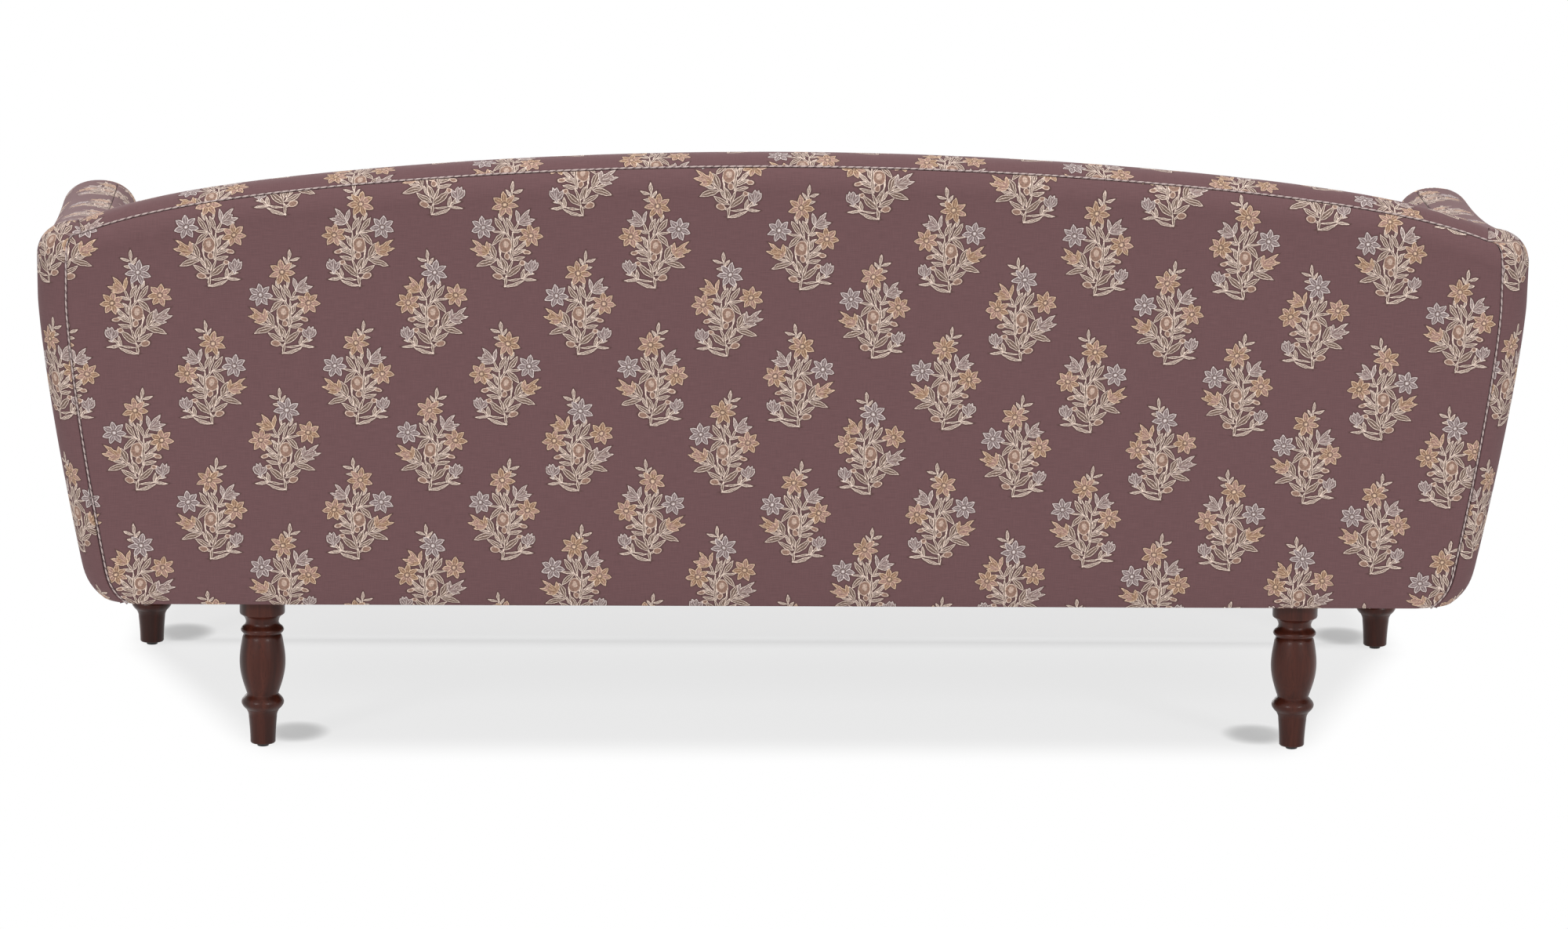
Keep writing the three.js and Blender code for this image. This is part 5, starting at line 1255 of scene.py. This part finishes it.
legForm = {
    "top": 0.2172, "places": {"front": (0.949, -0.39), "rear": (0.744, 0.274854)},
    "heel": {"radii": (0.0168, 0.0180), "heights": (0.0048, 0.0062)},  # heights in metres
    "shaft": {"low": 0.0075, "high": 0.202, "radii": (0.0181, 0.0204), "power": 1.6},  # low in metres
    "flare": {"high": 0.247, "radius": 0.0232, "power": 2.2},
    "ring": (0.25, 0.351, 0.0234, 0.0234, 0.0072), "cove": (0.358, 0.0226),
    "bulb": (0.365, 0.72, 0.023, 0.0295, 0.0064), "shoulder": ((0.738, 0.0288), (0.752, 0.0278)),
    "torus": (0.762, 0.821, 0.026, 0.026, 0.005), "groove": (0.832, 0.0242),
    "neck": {"low": 0.843, "high": 0.886, "radii": (0.0236, 0.0272), "power": 2},
    "flange": {"radii": (0.0318, 0.0325), "heights": (0.9, 0.909), "edge": 0.0008},
    "bolt": {"radii": (0.004, 0.0034), "steps": 120, "below": 0.002, "above": 0.03},
    "glide": {"radii": (0.0066, 0.0078, 0.0084, 0.0085, 0.0085, 0.0081, 0.0018, 0.0018, 0.0004),
              "heights": (0.0, 0.0, 0.0006, 0.0014, 0.0036, 0.0045, 0.0045, 0.0132, 0.0145)},
}


# Half a sine wave on a straight line between two radii.
def swell(low, high, lowRadius, highRadius, rise, count=14):
    share = np.linspace(0, 1, count)
    return mix(lowRadius, highRadius, share) + rise * np.sin(np.pi * share), mix(low, high, share)


# From the foot up: heel, shaft and flare as powers of the way up, a ring, a bulb and a torus as half
# sine waves with a cove or a groove between them, a neck as a power, and the flange at the top.
def legProfile():
    top, share = legForm["top"], np.linspace(0, 1, 12)
    heel, shaft, flare, neck, flange = (legForm[key] for key in ("heel", "shaft", "flare", "neck", "flange"))
    swells = {key: swell(low * top, high * top, *radii, count) for key, (low, high, *radii), count in
              (("ring", legForm["ring"], 14), ("bulb", legForm["bulb"], 40), ("torus", legForm["torus"], 12))}
    steps = [
        (heel["radii"], heel["heights"]),
        (mix(*shaft["radii"], share ** shaft["power"]), mix(shaft["low"], shaft["high"] * top, share)),
        (mix(shaft["radii"][1], flare["radius"], share[1:] ** flare["power"]),
         mix(shaft["high"] * top, flare["high"] * top, share[1:])),
        swells["ring"], ([legForm["cove"][1]], [legForm["cove"][0] * top]),
        swells["bulb"],
        ([radius for _, radius in legForm["shoulder"]], [up * top for up, _ in legForm["shoulder"]]),
        swells["torus"], ([legForm["groove"][1]], [legForm["groove"][0] * top]),
        (mix(*neck["radii"], share ** neck["power"]), mix(neck["low"] * top, neck["high"] * top, share)),
        (flange["radii"], [up * top for up in flange["heights"]]),
        (flange["radii"][::-1], [top - flange["edge"], top]),
    ]
    return [np.concatenate(values) for values in zip(*steps)]


def makeLegs():
    profile, bolt = legProfile(), legForm["bolt"]
    thread = np.arange(bolt["steps"])
    boltR = np.where(thread % 4 < 2, *bolt["radii"])
    boltZ = mix(legForm["top"] - bolt["below"], legForm["top"] + bolt["above"], thread / (bolt["steps"] - 1))
    glide = [np.array(legForm["glide"][key]) for key in ("radii", "heights")]
    for end, (x, y) in legForm["places"].items():
        for side, name in bothSides:
            at, tail = (side * x, y), f"_{end}_{name}"
            leg = turnedPiece("turnedLeg" + tail, *profile, at, legWood)
            screw = turnedPiece("legBolt" + tail, boltR, boltZ, at, steel, 20, 60)
            foot = turnedPiece("footGlide" + tail, *glide, at, glideNylon, 40)
            fitted(leg, "frame", "leg_wood", "leg" + tail)
            fitted(foot, "frame", "nylon", "glide" + tail)
            fitted(screw, "frame", "steel")


makeLegs()
print("legs made")

# Seat cushions: boxed, blown up by a cloth simulation, with piping on both edges

cushion = {
    "thickness": 0.138, "crown": 0.015, "belly": 0.002, "gap": 0.003, "drawIn": 0.004, "corner": 0.024,
    "frontSet": 0.006, "step": 0.0135, "span": (0.93, 0.6), "lift": 0.005, "fill": 0.85,
    "stuffing": {"pressure": 0.17, "shrink": 0.004, "stiffness": 40, "bending": 0.6, "mass": 0.3, "frames": 20,
                 "cap": 0.022},
    # waves along the piping: how deep, how far apart, how far in and down they reach, how uneven
    "pulls": {"deep": 0.0011, "apart": 0.041, "reach": 0.035, "down": 0.03, "rim": 0.012, "uneven": 1.3,
              "turns": (19, 23)},
    # the flat place round the zip: half sizes, how far it eases out, and its depth in the band
    "zipHold": {"half": (0.335, 0.009), "ease": 0.035, "deep": 0.0009, "band": 0.02},
    # the least distances from the middle, the arm, the back, and how far the front may bulge
    "clear": {"middle": 0.0012, "arm": 0.0015, "back": 0.002, "front": 0.004},
    "print": {"left": (0.1, 0.06), "right": (-0.093, 0.16)},
    "welt": {"radius": 0.003, "out": 0.0012, "step": 0.006, "sides": 8},
}
cushionInner = cushion["gap"] / 2
cushionRear = seatBackY - cushion["gap"] - form["lumbar"] / 2
cushionFront = frontY + cushion["frontSet"]
cushionLow = form["deck"] + 0.0005
cushionMiddle = cushionLow + cushion["lift"] + cushion["thickness"] / 2
zipMiddleX = (cushionInner + float(armInnerX(form["deck"], seatBackY)) - cushion["gap"]) / 2


# A crowned box in the seat's plan, whose outer side runs along the arm: plan corners are quarter
# circles, the sides draw in between corners as a sine, and top and bottom swell with the root of
# the product of two sines.
def cushionPoint(a, b, c):
    outer = armInnerX(form["deck"], mix(cushionFront, cushionRear, b)) - cushion["gap"]
    width, length, radius = float(np.mean(outer)) - cushionInner, cushionRear - cushionFront, cushion["corner"]
    x, y = (a - 0.5) * width, (b - 0.5) * length
    dx = np.maximum(0, np.abs(x) - width / 2 + radius)
    dy = np.maximum(0, np.abs(y) - length / 2 + radius)
    shrink = 1 - np.maximum(dx, dy) / np.maximum(np.hypot(dx, dy), 1e-9)
    x = x - np.sign(x) * dx * shrink - cushion["drawIn"] * np.sin(np.pi * b) * np.sign(x) * np.abs(2 * a - 1) ** 4
    y = y - np.sign(y) * dy * shrink - cushion["drawIn"] * np.sin(np.pi * a) * np.sign(y) * np.abs(2 * b - 1) ** 4
    x = cushionInner + (x / width + 0.5) * (outer - cushionInner)
    lift = np.sqrt(np.clip(np.sin(np.pi * a) * np.sin(np.pi * b), 0, 1))
    bulge = np.where(c > 0, cushion["crown"], cushion["belly"]) * lift
    z = cushionMiddle + c * (cushion["thickness"] / 2 + bulge)
    return stacked(x, y + (cushionFront + cushionRear) / 2, z)


# Six grids become one closed mesh. Returned with it are its flat maps and the two rims' vertices.
def cushionMesh():
    across, along = (np.linspace(0, 1, int(span / cushion["step"]) + 1) for span in cushion["span"])
    rise = np.linspace(-1, 1, int(cushion["thickness"] / cushion["step"]) + 1)
    a, b, c = across[:, None], along[None, :], rise[None, :]
    panels = [(cushionPoint(a, b, 1.0), 1, (0, 1)), (cushionPoint(a, b, -1.0), -1, (0, 1)),
              (cushionPoint(a, 0.0 * a, c), 1, (0, 2)), (cushionPoint(a, 0.0 * a + 1, c), -1, (0, 2)),
              (cushionPoint(0.0 * b.T, b.T, c), -1, (1, 2)), (cushionPoint(0.0 * b.T + 1, b.T, c), 1, (1, 2))]
    quads = [facing(gridQuads(*grid.shape[:2]), side) for grid, side, _ in panels]
    points, faces = joined([(grid, each) for (grid, _, _), each in zip(panels, quads)])
    maps = np.concatenate([grid.reshape(-1, 3)[each.ravel()][:, axes]
                           for (grid, _, axes), each in zip(panels, quads)])
    rounded = np.round(points * 1e5).astype(np.int64)
    _, first, inverse = np.unique(rounded, axis=0, return_index=True, return_inverse=True)
    shape = panels[0][0].shape[:2]
    index = np.arange(shape[0] * shape[1]).reshape(shape)
    rim = np.concatenate([index[:-1, 0], index[-1, :-1], index[:0:-1, -1], index[0, :0:-1]])
    inverse = inverse.reshape(-1)
    return points[first], inverse[faces], maps, inverse[rim], inverse[rim + shape[0] * shape[1]]


def joined(shapes):
    points, faces, start = [], [], 0
    for grid, quads in shapes:
        points.append(grid.reshape(-1, 3))
        faces.append(quads + start)
        start += grid.size // 3
    return np.concatenate(points), np.concatenate(faces)


def blowUp(piece, rims):
    look = cushion["stuffing"]
    before = np.zeros(len(piece.data.vertices) * 3)
    piece.data.vertices.foreach_get("co", before)
    group = piece.vertex_groups.new(name="seams")
    group.add([int(k) for k in np.concatenate(rims)], 1.0, "REPLACE")
    cloth = piece.modifiers.new("stuffing", "CLOTH")
    settings = cloth.settings
    settings.quality = 5
    settings.mass = look["mass"]
    settings.use_pressure = True
    settings.uniform_pressure_force = look["pressure"]
    settings.tension_stiffness = settings.compression_stiffness = look["stiffness"]
    settings.bending_stiffness = look["bending"]
    settings.effector_weights.gravity = 0
    settings.vertex_group_shrink = "seams"
    settings.shrink_min = 0.0
    settings.shrink_max = look["shrink"]
    cloth.collision_settings.use_collision = False
    cloth.point_cache.frame_start, cloth.point_cache.frame_end = 1, look["frames"]
    for step in range(1, look["frames"] + 1):
        scene.frame_set(step)
    blown = piece.evaluated_get(bpy.context.evaluated_depsgraph_get()).to_mesh()
    after = np.zeros(len(before))
    blown.vertices.foreach_get("co", after)
    piece.to_mesh_clear()
    piece.modifiers.remove(cloth)
    scene.frame_set(1)
    move = (after - before).reshape(-1, 3)
    size = np.linalg.norm(move, axis=1, keepdims=True)
    move *= np.minimum(1, look["cap"] / np.maximum(size, 1e-9))
    print("cushion blown up by at most", round(float(size.max()) * 1000, 1), "mm")
    return before.reshape(-1, 3) + move


# Pulls at the piping: a sine of the way along the nearer sides, fading with the distance from the rim.
def withPulls(points):
    look = cushion["pulls"]
    x, y, z = points.T
    toX, toY = (np.minimum(value - value.min(), value.max() - value) for value in (x, y))
    level = np.clip(1 - np.abs(np.abs(z - cushionMiddle) - cushion["thickness"] / 2) / look["down"], 0, 1)
    waves = sum(np.sin(2 * np.pi * value / look["apart"] + look["uneven"] * np.sin(value * turns))
                * np.exp(-side / look["reach"])
                for value, turns, side in ((y, look["turns"][1], toX), (x, look["turns"][0], toY)))
    fromRim = np.sin(np.pi * np.clip(np.minimum(toX, toY) / look["rim"], 0, 0.5))
    return np.stack([x, y, z + np.sign(z - cushionMiddle) * look["deep"] * waves * fromRim * level], axis=1)


# The zip holds the rear band straight: near its line the band eases to the tape's plane.
def heldByZip(points):
    look = cushion["zipHold"]
    x, y, z = points.T
    beyond = np.hypot(np.maximum(0, np.abs(z - cushionMiddle) - look["half"][1]),
                      np.maximum(0, np.abs(x - zipMiddleX) - look["half"][0]))
    hold = eased(1 - beyond / look["ease"]) * (y > cushionRear - look["band"])
    return np.stack([x, mix(y, cushionRear - look["deep"], hold), z], axis=1)


# Keeps the cushion off the deck, the other cushion, the arm and the back.
def settled(points):
    clear = cushion["clear"]
    x, y, z = points.T
    z = np.maximum(z, cushionLow)
    x = np.minimum(np.maximum(x, clear["middle"]), armInnerX(z, y) - clear["arm"])
    y = np.maximum(np.minimum(y, backInnerY(x, z) - clear["back"]), frontY - clear["front"])
    return np.stack([x, y, z], axis=1)


# A closed ring of piping, a little outside the cushion's rim.
def rimPiping(name, line, body):
    look = cushion["welt"]
    out = line - line.mean(0)
    out[:, 2] = 0
    out /= np.linalg.norm(out, axis=1, keepdims=True)
    path = evenly(line + out * look["out"], look["step"], True)
    fitted(tubePiece(name, path, look["radius"], look["sides"], weltCord, (0, 0, 1), True), body, "welt_cloth")


def makeCushions():
    points, faces, maps, rimTop, rimLow = cushionMesh()
    piece = newPiece("cushion_left", points, faces, printedCloth, shifted(maps, cushion["print"]["left"]))
    points = heldByZip(settled(withPulls(blowUp(piece, (rimTop, rimLow)))))
    piece.data.vertices.foreach_set("co", points.ravel())
    piece.data.update()
    mapsRight = maps.reshape(-1, 4, 2)[:, ::-1].reshape(-1, 2)
    other = newPiece("cushion_right", handed(points, -1), faces[:, ::-1], printedCloth,
                     shifted(mapsRight, cushion["print"]["right"], -1))
    for made, (side, name) in zip((piece, other), bothSides):
        finer = made.modifiers.new("finer", "SUBSURF")
        finer.levels = finer.render_levels = 1
        fitted(made, "cushion_" + name, "printed_cloth", "cushion_cover_" + name, "cushion_core_" + name)
        for rim, edge in ((rimTop, "top"), (rimLow, "low")):
            rimPiping(f"cushionWelt_{edge}_{name}", handed(points[rim], side), "cushion_" + name)


makeCushions()
print("cushions made")

# Zips: a woven tape, two rows of teeth that mesh, and a slider with its pull. Depths count back from
# the cushion's rear plane, heights from the zip's line.

zipForm = {
    "length": 0.64,
    "tape": {"width": 0.012, "thick": 0.0007, "deep": 0.0004, "points": (240, 9), "ripple": (0.00025, 190),
             "wave": (0.0002, 71)},
    "teeth": {"pitch": 0.0026, "half": (0.000576, 0.000825, 0.000975), "ends": 0.003, "proud": 0.0007, "apart": 0.0007},
    "slider": {"half": (0.007, 0.0017, 0.0043), "start": 0.0072, "proud": 0.0026},
    "loop": {"points": 24, "proud": 0.0008, "half": (0.0011, 0.0022), "wire": 0.0005},
    "pull": {"half": (0.0022, 0.0006, 0.0085), "tip": (0.0028, 0.00075, 0.0042), "proud": 0.0016, "drop": 0.0125,
             "tipDrop": 0.004},
}


# A superellipsoid: each half size times a signed power of the sines and cosines of two angles.
def pebble(centre, half, power=0.45, sides=20, rings=11):
    turn = np.linspace(0, 2 * np.pi, sides, endpoint=False)[None, :]
    up = np.linspace(-np.pi / 2, np.pi / 2, rings)[:, None]
    cosUp, sinUp, cosTurn, sinTurn = (np.sign(v) * np.abs(v) ** power for v in
                                      (np.cos(up), np.sin(up), np.cos(turn), np.sin(turn)))
    grid = stacked(cosUp * cosTurn, cosUp * sinTurn, sinUp)
    return grid * np.array(half) + np.array(centre), gridQuads(rings, sides, False, True)[:, ::-1]


# The same small shape set at many places, as whole arrays.
def repeated(shape, places):
    grid, quads = shape
    flat = grid.reshape(-1, 3)
    points = (flat[None] + places[:, None]).reshape(-1, 3)
    return points, (quads[None] + (np.arange(len(places)) * len(flat))[:, None, None]).reshape(-1, 4)


# The tape ripples by two sines of its length, one of them only towards its edges.
def zipTapeGrid(low, high):
    look = zipForm["tape"]
    (ripple, rippleTurns), (wave, waveTurns) = look["ripple"], look["wave"]
    along = np.linspace(low, high, look["points"][0])[:, None]
    across = np.linspace(-1, 1, look["points"][1])[None, :]
    bend = ripple * np.sin(along * rippleTurns) * np.abs(across) + wave * np.sin(along * waveTurns + 1)
    return stacked(along, cushionRear - look["deep"] + bend, cushionMiddle + across * look["width"] / 2)


def zipTeethShapes(low, high):
    look = zipForm["teeth"]
    x = np.arange(low + look["ends"], high - look["ends"], look["pitch"] / 2)
    places = stacked(x, cushionRear + look["proud"], cushionMiddle + look["apart"] * (-1.0) ** np.arange(len(x)))
    return repeated(pebble((0, 0, 0), look["half"], 0.4, 8, 5), places)


# The slider's body, a ring of wire through its bridge, and the pull that hangs from it with a wider tip.
def zipSliderShapes(low):
    slider, loop, pull = zipForm["slider"], zipForm["loop"], zipForm["pull"]
    x, bodyY = low + slider["start"], cushionRear + slider["proud"]
    topY, hang = bodyY + slider["half"][1], cushionMiddle - pull["drop"]
    turn = np.linspace(0, 2 * np.pi, loop["points"] + 1)[:-1]
    ringY, ringZ = loop["half"][0] * np.cos(turn), loop["half"][1] * np.sin(turn)
    ring = stacked(x, topY + loop["proud"] + ringY, cushionMiddle + ringZ)
    return joined([
        pebble((x, bodyY, cushionMiddle), slider["half"], 0.5),
        (tubeGrid(ring, loop["wire"], 8, (1, 0, 0), True), gridQuads(loop["points"], 8, True, True)[:, ::-1]),
        pebble((x, topY + pull["proud"], hang), pull["half"], 0.35),
        pebble((x, topY + pull["proud"], hang - pull["tipDrop"]), pull["tip"], 0.5)])


def makeZips():
    low, high = zipMiddleX - zipForm["length"] / 2, zipMiddleX + zipForm["length"] / 2
    look, tape = zipForm["tape"], zipTapeGrid(low, high)
    teeth, slider = zipTeethShapes(low, high), zipSliderShapes(low)
    for side, name in bothSides:
        cloth = clothPiece("zipTape_" + name, handed(tape, side), -side, tape[..., [0, 2]], zipTape, look["thick"])
        rows, handle = (newPiece(start + name, handed(points, side), facing(faces, side), steel)
                        for start, (points, faces) in (("zipTeeth_", teeth), ("zipSlider_", slider)))
        fitted(cloth, "cushion_" + name, "zip_tape", "cushion_zip_" + name)
        fitted(rows, "cushion_" + name, "steel")
        fitted(handle, "slider_" + name, "steel", "zip_slider_" + name)


makeZips()
print("zips made")

# The black cloth under the seat, tacked to the rails, sagging a little between them

dustCloth = {
    "halfX": 0.961, "frontY": -0.4225, "rearY": 0.3189, "level": 0.2192, "corner": 0.062, "step": 0.02,
    "notch": (0.9185, -0.3595), "hole": {"half": 0.0305, "x": 0.744, "y": 0.274854},
    "thick": 0.0006, "area": 1.408,
    # depth, its powers across and along, and how much of it varies along the sofa
    "sag": {"deep": 0.004, "across": 0.7, "along": 0.6, "varies": (0.2, 9)},
}


# Lines a steady distance apart that also pass through the given places.
def linesThrough(places, step):
    runs = [np.linspace(a, b, max(2, int(round((b - a) / step)) + 1))[:-1] for a, b in zip(places[:-1], places[1:])]
    return np.concatenate(runs + [[places[-1]]])


# A flat sheet with places cut out, lowered as the product of powers of two sines between the rails.
def makeDustCloth():
    look, hole, sag = dustCloth, dustCloth["hole"], dustCloth["sag"]
    cutX = [hole["x"] - hole["half"], hole["x"] + hole["half"], look["notch"][0], look["halfX"]]
    cutY = [look["frontY"], look["notch"][1], hole["y"] - hole["half"], look["rearY"] - look["corner"],
            hole["y"] + hole["half"], look["rearY"]]
    x = linesThrough([-v for v in cutX[::-1]] + cutX, look["step"])[:, None]
    y = linesThrough(cutY, look["step"])[None, :]
    reach = look["halfX"] - np.maximum(0, y - look["rearY"] + look["corner"])
    x = np.clip(x, -reach, reach)
    across = np.sin(np.pi * (y - look["frontY"]) / (look["rearY"] - look["frontY"])) ** sag["across"]
    along = np.sin(np.pi * np.clip(1 - np.abs(x) / look["halfX"], 0, 0.5)) ** sag["along"]
    share, turns = sag["varies"]
    grid = stacked(x, y, look["level"] - sag["deep"] * across * (1 - share + share * np.cos(x * turns)) * along)
    quads = gridQuads(*grid.shape[:2])
    middle = grid.reshape(-1, 3)[quads].mean(1)
    midX, midY = np.abs(middle[:, 0]), middle[:, 1]
    inHole = (np.abs(midX - hole["x"]) < hole["half"]) & (np.abs(midY - hole["y"]) < hole["half"])
    inNotch = (midX > look["notch"][0]) & (midY < look["notch"][1])
    piece = newPiece("dustCloth", grid, quads[~inHole & ~inNotch][:, ::-1], blackCloth, grid[..., :2])
    thickened(reworked(piece, mergeDoubles), look["thick"], 0)
    fitted(piece, "frame", "black_cloth", "dust_cover")


makeDustCloth()
print("dust cloth made")

# Jute webbing behind the inside back: upright strips woven over and under two rows

webbing = {
    "width": 0.05, "thick": 0.0018, "weave": 0.0012, "crossing": 0.03, "uprights": 8, "foot": 0.392,
    "inFromEnd": 0.08, "rowFrom": 0.412, "rowShares": (1 / 3, 2 / 3), "railDepth": 0.07, "points": (5, 60, 240),
}


# Each strip is a ribbon, first laid flat; its depth is a bell curve at every crossing, and changes
# sides from one to the next. Then all of them lean with the back.
def makeWebbing():
    low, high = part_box("back_webbing")
    foot, (acrossPoints, upPoints, rowPoints) = webbing["foot"], webbing["points"]
    slope = math.radians(form["backLean"])
    half, top = high[0] - webbing["inFromEnd"], (high[2] - foot) / math.cos(slope)
    rowTop = float(backRidge(shoulderX)) - form["capRise"] - webbing["railDepth"]
    rows = [(mix(webbing["rowFrom"], rowTop, share) - foot) / math.cos(slope) for share in webbing["rowShares"]]
    places = np.linspace(-half, half, webbing["uprights"])
    across, shapes = np.linspace(-0.5, 0.5, acrossPoints)[None, :] * webbing["width"], []

    def woven(along, crossings, first):
        return webbing["weave"] * sum(np.exp(-((along - place) / webbing["crossing"]) ** 2) * (-1) ** (first + k)
                                      for k, place in enumerate(crossings))

    for k, x in enumerate(places):
        drop = float(backRidge(abs(x) + webbing["width"] / 2)) - float(backRidge(0.0))
        up = np.linspace(0, min(top, top + drop / math.cos(slope)), upPoints)[:, None]
        shapes.append(stacked(x + across, -woven(up, rows, k), up))
    for j, row in enumerate(rows):
        x = np.linspace(-high[0], high[0], rowPoints)[:, None]
        shapes.append(stacked(x, woven(x, places, j), row + across)[:, ::-1])
    points, faces = joined([(grid, gridQuads(*grid.shape[:2])) for grid in shapes])
    x, y, z = points.T
    startY = (low[1] + high[1]) / 2 - math.sin(slope) * top / 2
    leaning = y * math.cos(slope) + z * math.sin(slope) + startY
    points = np.stack([x, leaning, foot + z * math.cos(slope)], axis=1)
    piece = thickened(newPiece("backWebbing", points, faces, jute, points[:, [0, 2]]), webbing["thick"], 0)
    fitted(piece, "frame", "webbing", "back_webbing")
    area = sum(float(np.linalg.norm(grid[-1, 0] - grid[0, 0])) for grid in shapes) * webbing["width"]
    size = (2 * high[0], top)
    min(area, size[0] * size[1])


makeWebbing()
print("webbing made")

# The solids that stay get their own finish: steel, or beech with the grain along each piece

grainOf = {"rail": "x", "brace": "y", "side_rail": "y", "arm_board": "y", "post": "z", "upright": "z"}
for name, part in parts.items():
    if part.hide_render:
        continue
    grain = [axis for key, axis in grainOf.items() if key in name]
    isSteel = name.startswith(("leg_plate", "seat_springs"))
    part.data.materials.clear()
    part.data.materials.append(steel if isSteel else plainWood[grain[-1] if grain else "x"])
print("solids finished")

# Floor and light

studio = {
    "size": 40, "floor": (0.94, 0.94, 0.94), "floorGlow": 0.74, "world": 0.36,
    # the shaded patch of floor under the sofa: half width at y 0 and its change per metre, rear and front
    # edges; in front of the sofa its own shade ends, so there the patch itself glows less by farLoss, a painted shade
    "patch": {"half": 0.846, "taper": -0.325, "widest": 0.96, "rear": 0.297, "front": -1.2, "sideSoft": 0.045,
              "endSoft": 0.09, "far": (-0.36, -0.47), "farLoss": 0.293},
    # painted contact shadows on the floor beside the feet: how much of the glow they lose, their middles and half sizes
    "paintedFootShadows": {"loss": 0.4, "half": (0.055, 0.075), "places": ((0.7, 0.19), (0.905, -0.475))},
    "suns": {  # strength, softness and turn in degrees
        "overhead": (2.05, 7, (0, 0, 0)), "frontFill": (0.9, 40, (76, 0, 12)),
        "backLeft": (0.62, 12, (66, 0, 146)), "backRight": (0.62, 12, (66, 0, 214)),
    },
}


# 1 where the camera sees it, itself or by a reflection or through glass.
def seenShare(tree):
    path = node("LightPath", tree=tree)
    return larger(*(path.other(f"Is {kind} Ray") for kind in ("Camera", "Glossy", "Transmission")))


def makeFloor():
    size, patch, paintedFootShadows = studio["size"], studio["patch"], studio["paintedFootShadows"]
    floorLook, tree, surface = newMaterial("paleFloor")
    feedAll(surface, {"Base Color": (*studio["floor"], 1), "Roughness": 0.9, "Specular IOR Level": 0.1})
    seen = seenShare(tree)
    x, y, _ = split(node("TexCoord", tree=tree).other("Object"))
    half = maths("MINIMUM", timesPlus(y, patch["taper"], patch["half"]), patch["widest"])
    window = ramp(abs(x) - half, patch["sideSoft"], -patch["sideSoft"])
    for edge, way in (("rear", 1), ("front", -1)):
        soft = patch["endSoft"] * way
        window = window * ramp(y, patch[edge] + soft, patch[edge] - soft)
    # painted shade: in front of the sofa, where its own shadow ends, the patch glows less
    strength = timesPlus(window * ramp(y, *patch["far"]), -patch["farLoss"], 1.0)
    # painted contact shadows: beside each foot the floor glows less in a soft ellipse
    for middleX, middleY in paintedFootShadows["places"]:
        aside = ((abs(x) - middleX) / paintedFootShadows["half"][0]) ** 2.0
        away = aside + ((y - middleY) / paintedFootShadows["half"][1]) ** 2.0
        strength = strength - ramp(away, 1.0, 0.1, 0.0, paintedFootShadows["loss"])
    glow = node("Emission", tree=tree, Color=(1, 1, 1, 1), Strength=strength)
    both = node("MixShader", tree=tree)
    feedAll(both.socket.node.inputs, {
        0: seen * timesPlus(window, studio["floorGlow"] - 1, 1.0),
        1: Wire(tree.nodes["Principled BSDF"].outputs[0]), 2: glow})
    feed(tree.nodes["Material Output"].inputs[0], both)
    points = np.array([[-size, -size, 0], [size, -size, 0], [size, size, 0], [-size, size, 0]], dtype=float)
    newPiece("floor", points, np.array([[0, 1, 2, 3]]), floorLook, smooth=False)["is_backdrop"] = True


def makeLight():
    world = bpy.data.worlds.new("studioWorld")
    world.use_nodes = True
    background = world.node_tree.nodes["Background"].inputs
    glow = timesPlus(seenShare(world.node_tree), 1 - studio["world"], studio["world"])
    feedAll(background, {0: (1, 1, 1, 1), 1: glow})
    scene.world = world
    for name, (strength, softness, turn) in studio["suns"].items():
        sun = bpy.data.lights.new(name, "SUN")
        sun.energy, sun.angle = strength, math.radians(softness)
        held = bpy.data.objects.new(name, sun)
        held.rotation_euler = [math.radians(k) for k in turn]
        scene.collection.objects.link(held)


makeFloor()
makeLight()
print("floor and light made")
scene.view_settings.view_transform = "Standard"
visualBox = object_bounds()
growth = [[round((b - a) * 1000, 1) for a, b in zip(p, q)] for p, q in zip(cadBox, visualBox)]
print("box grows by", growth, "mm")
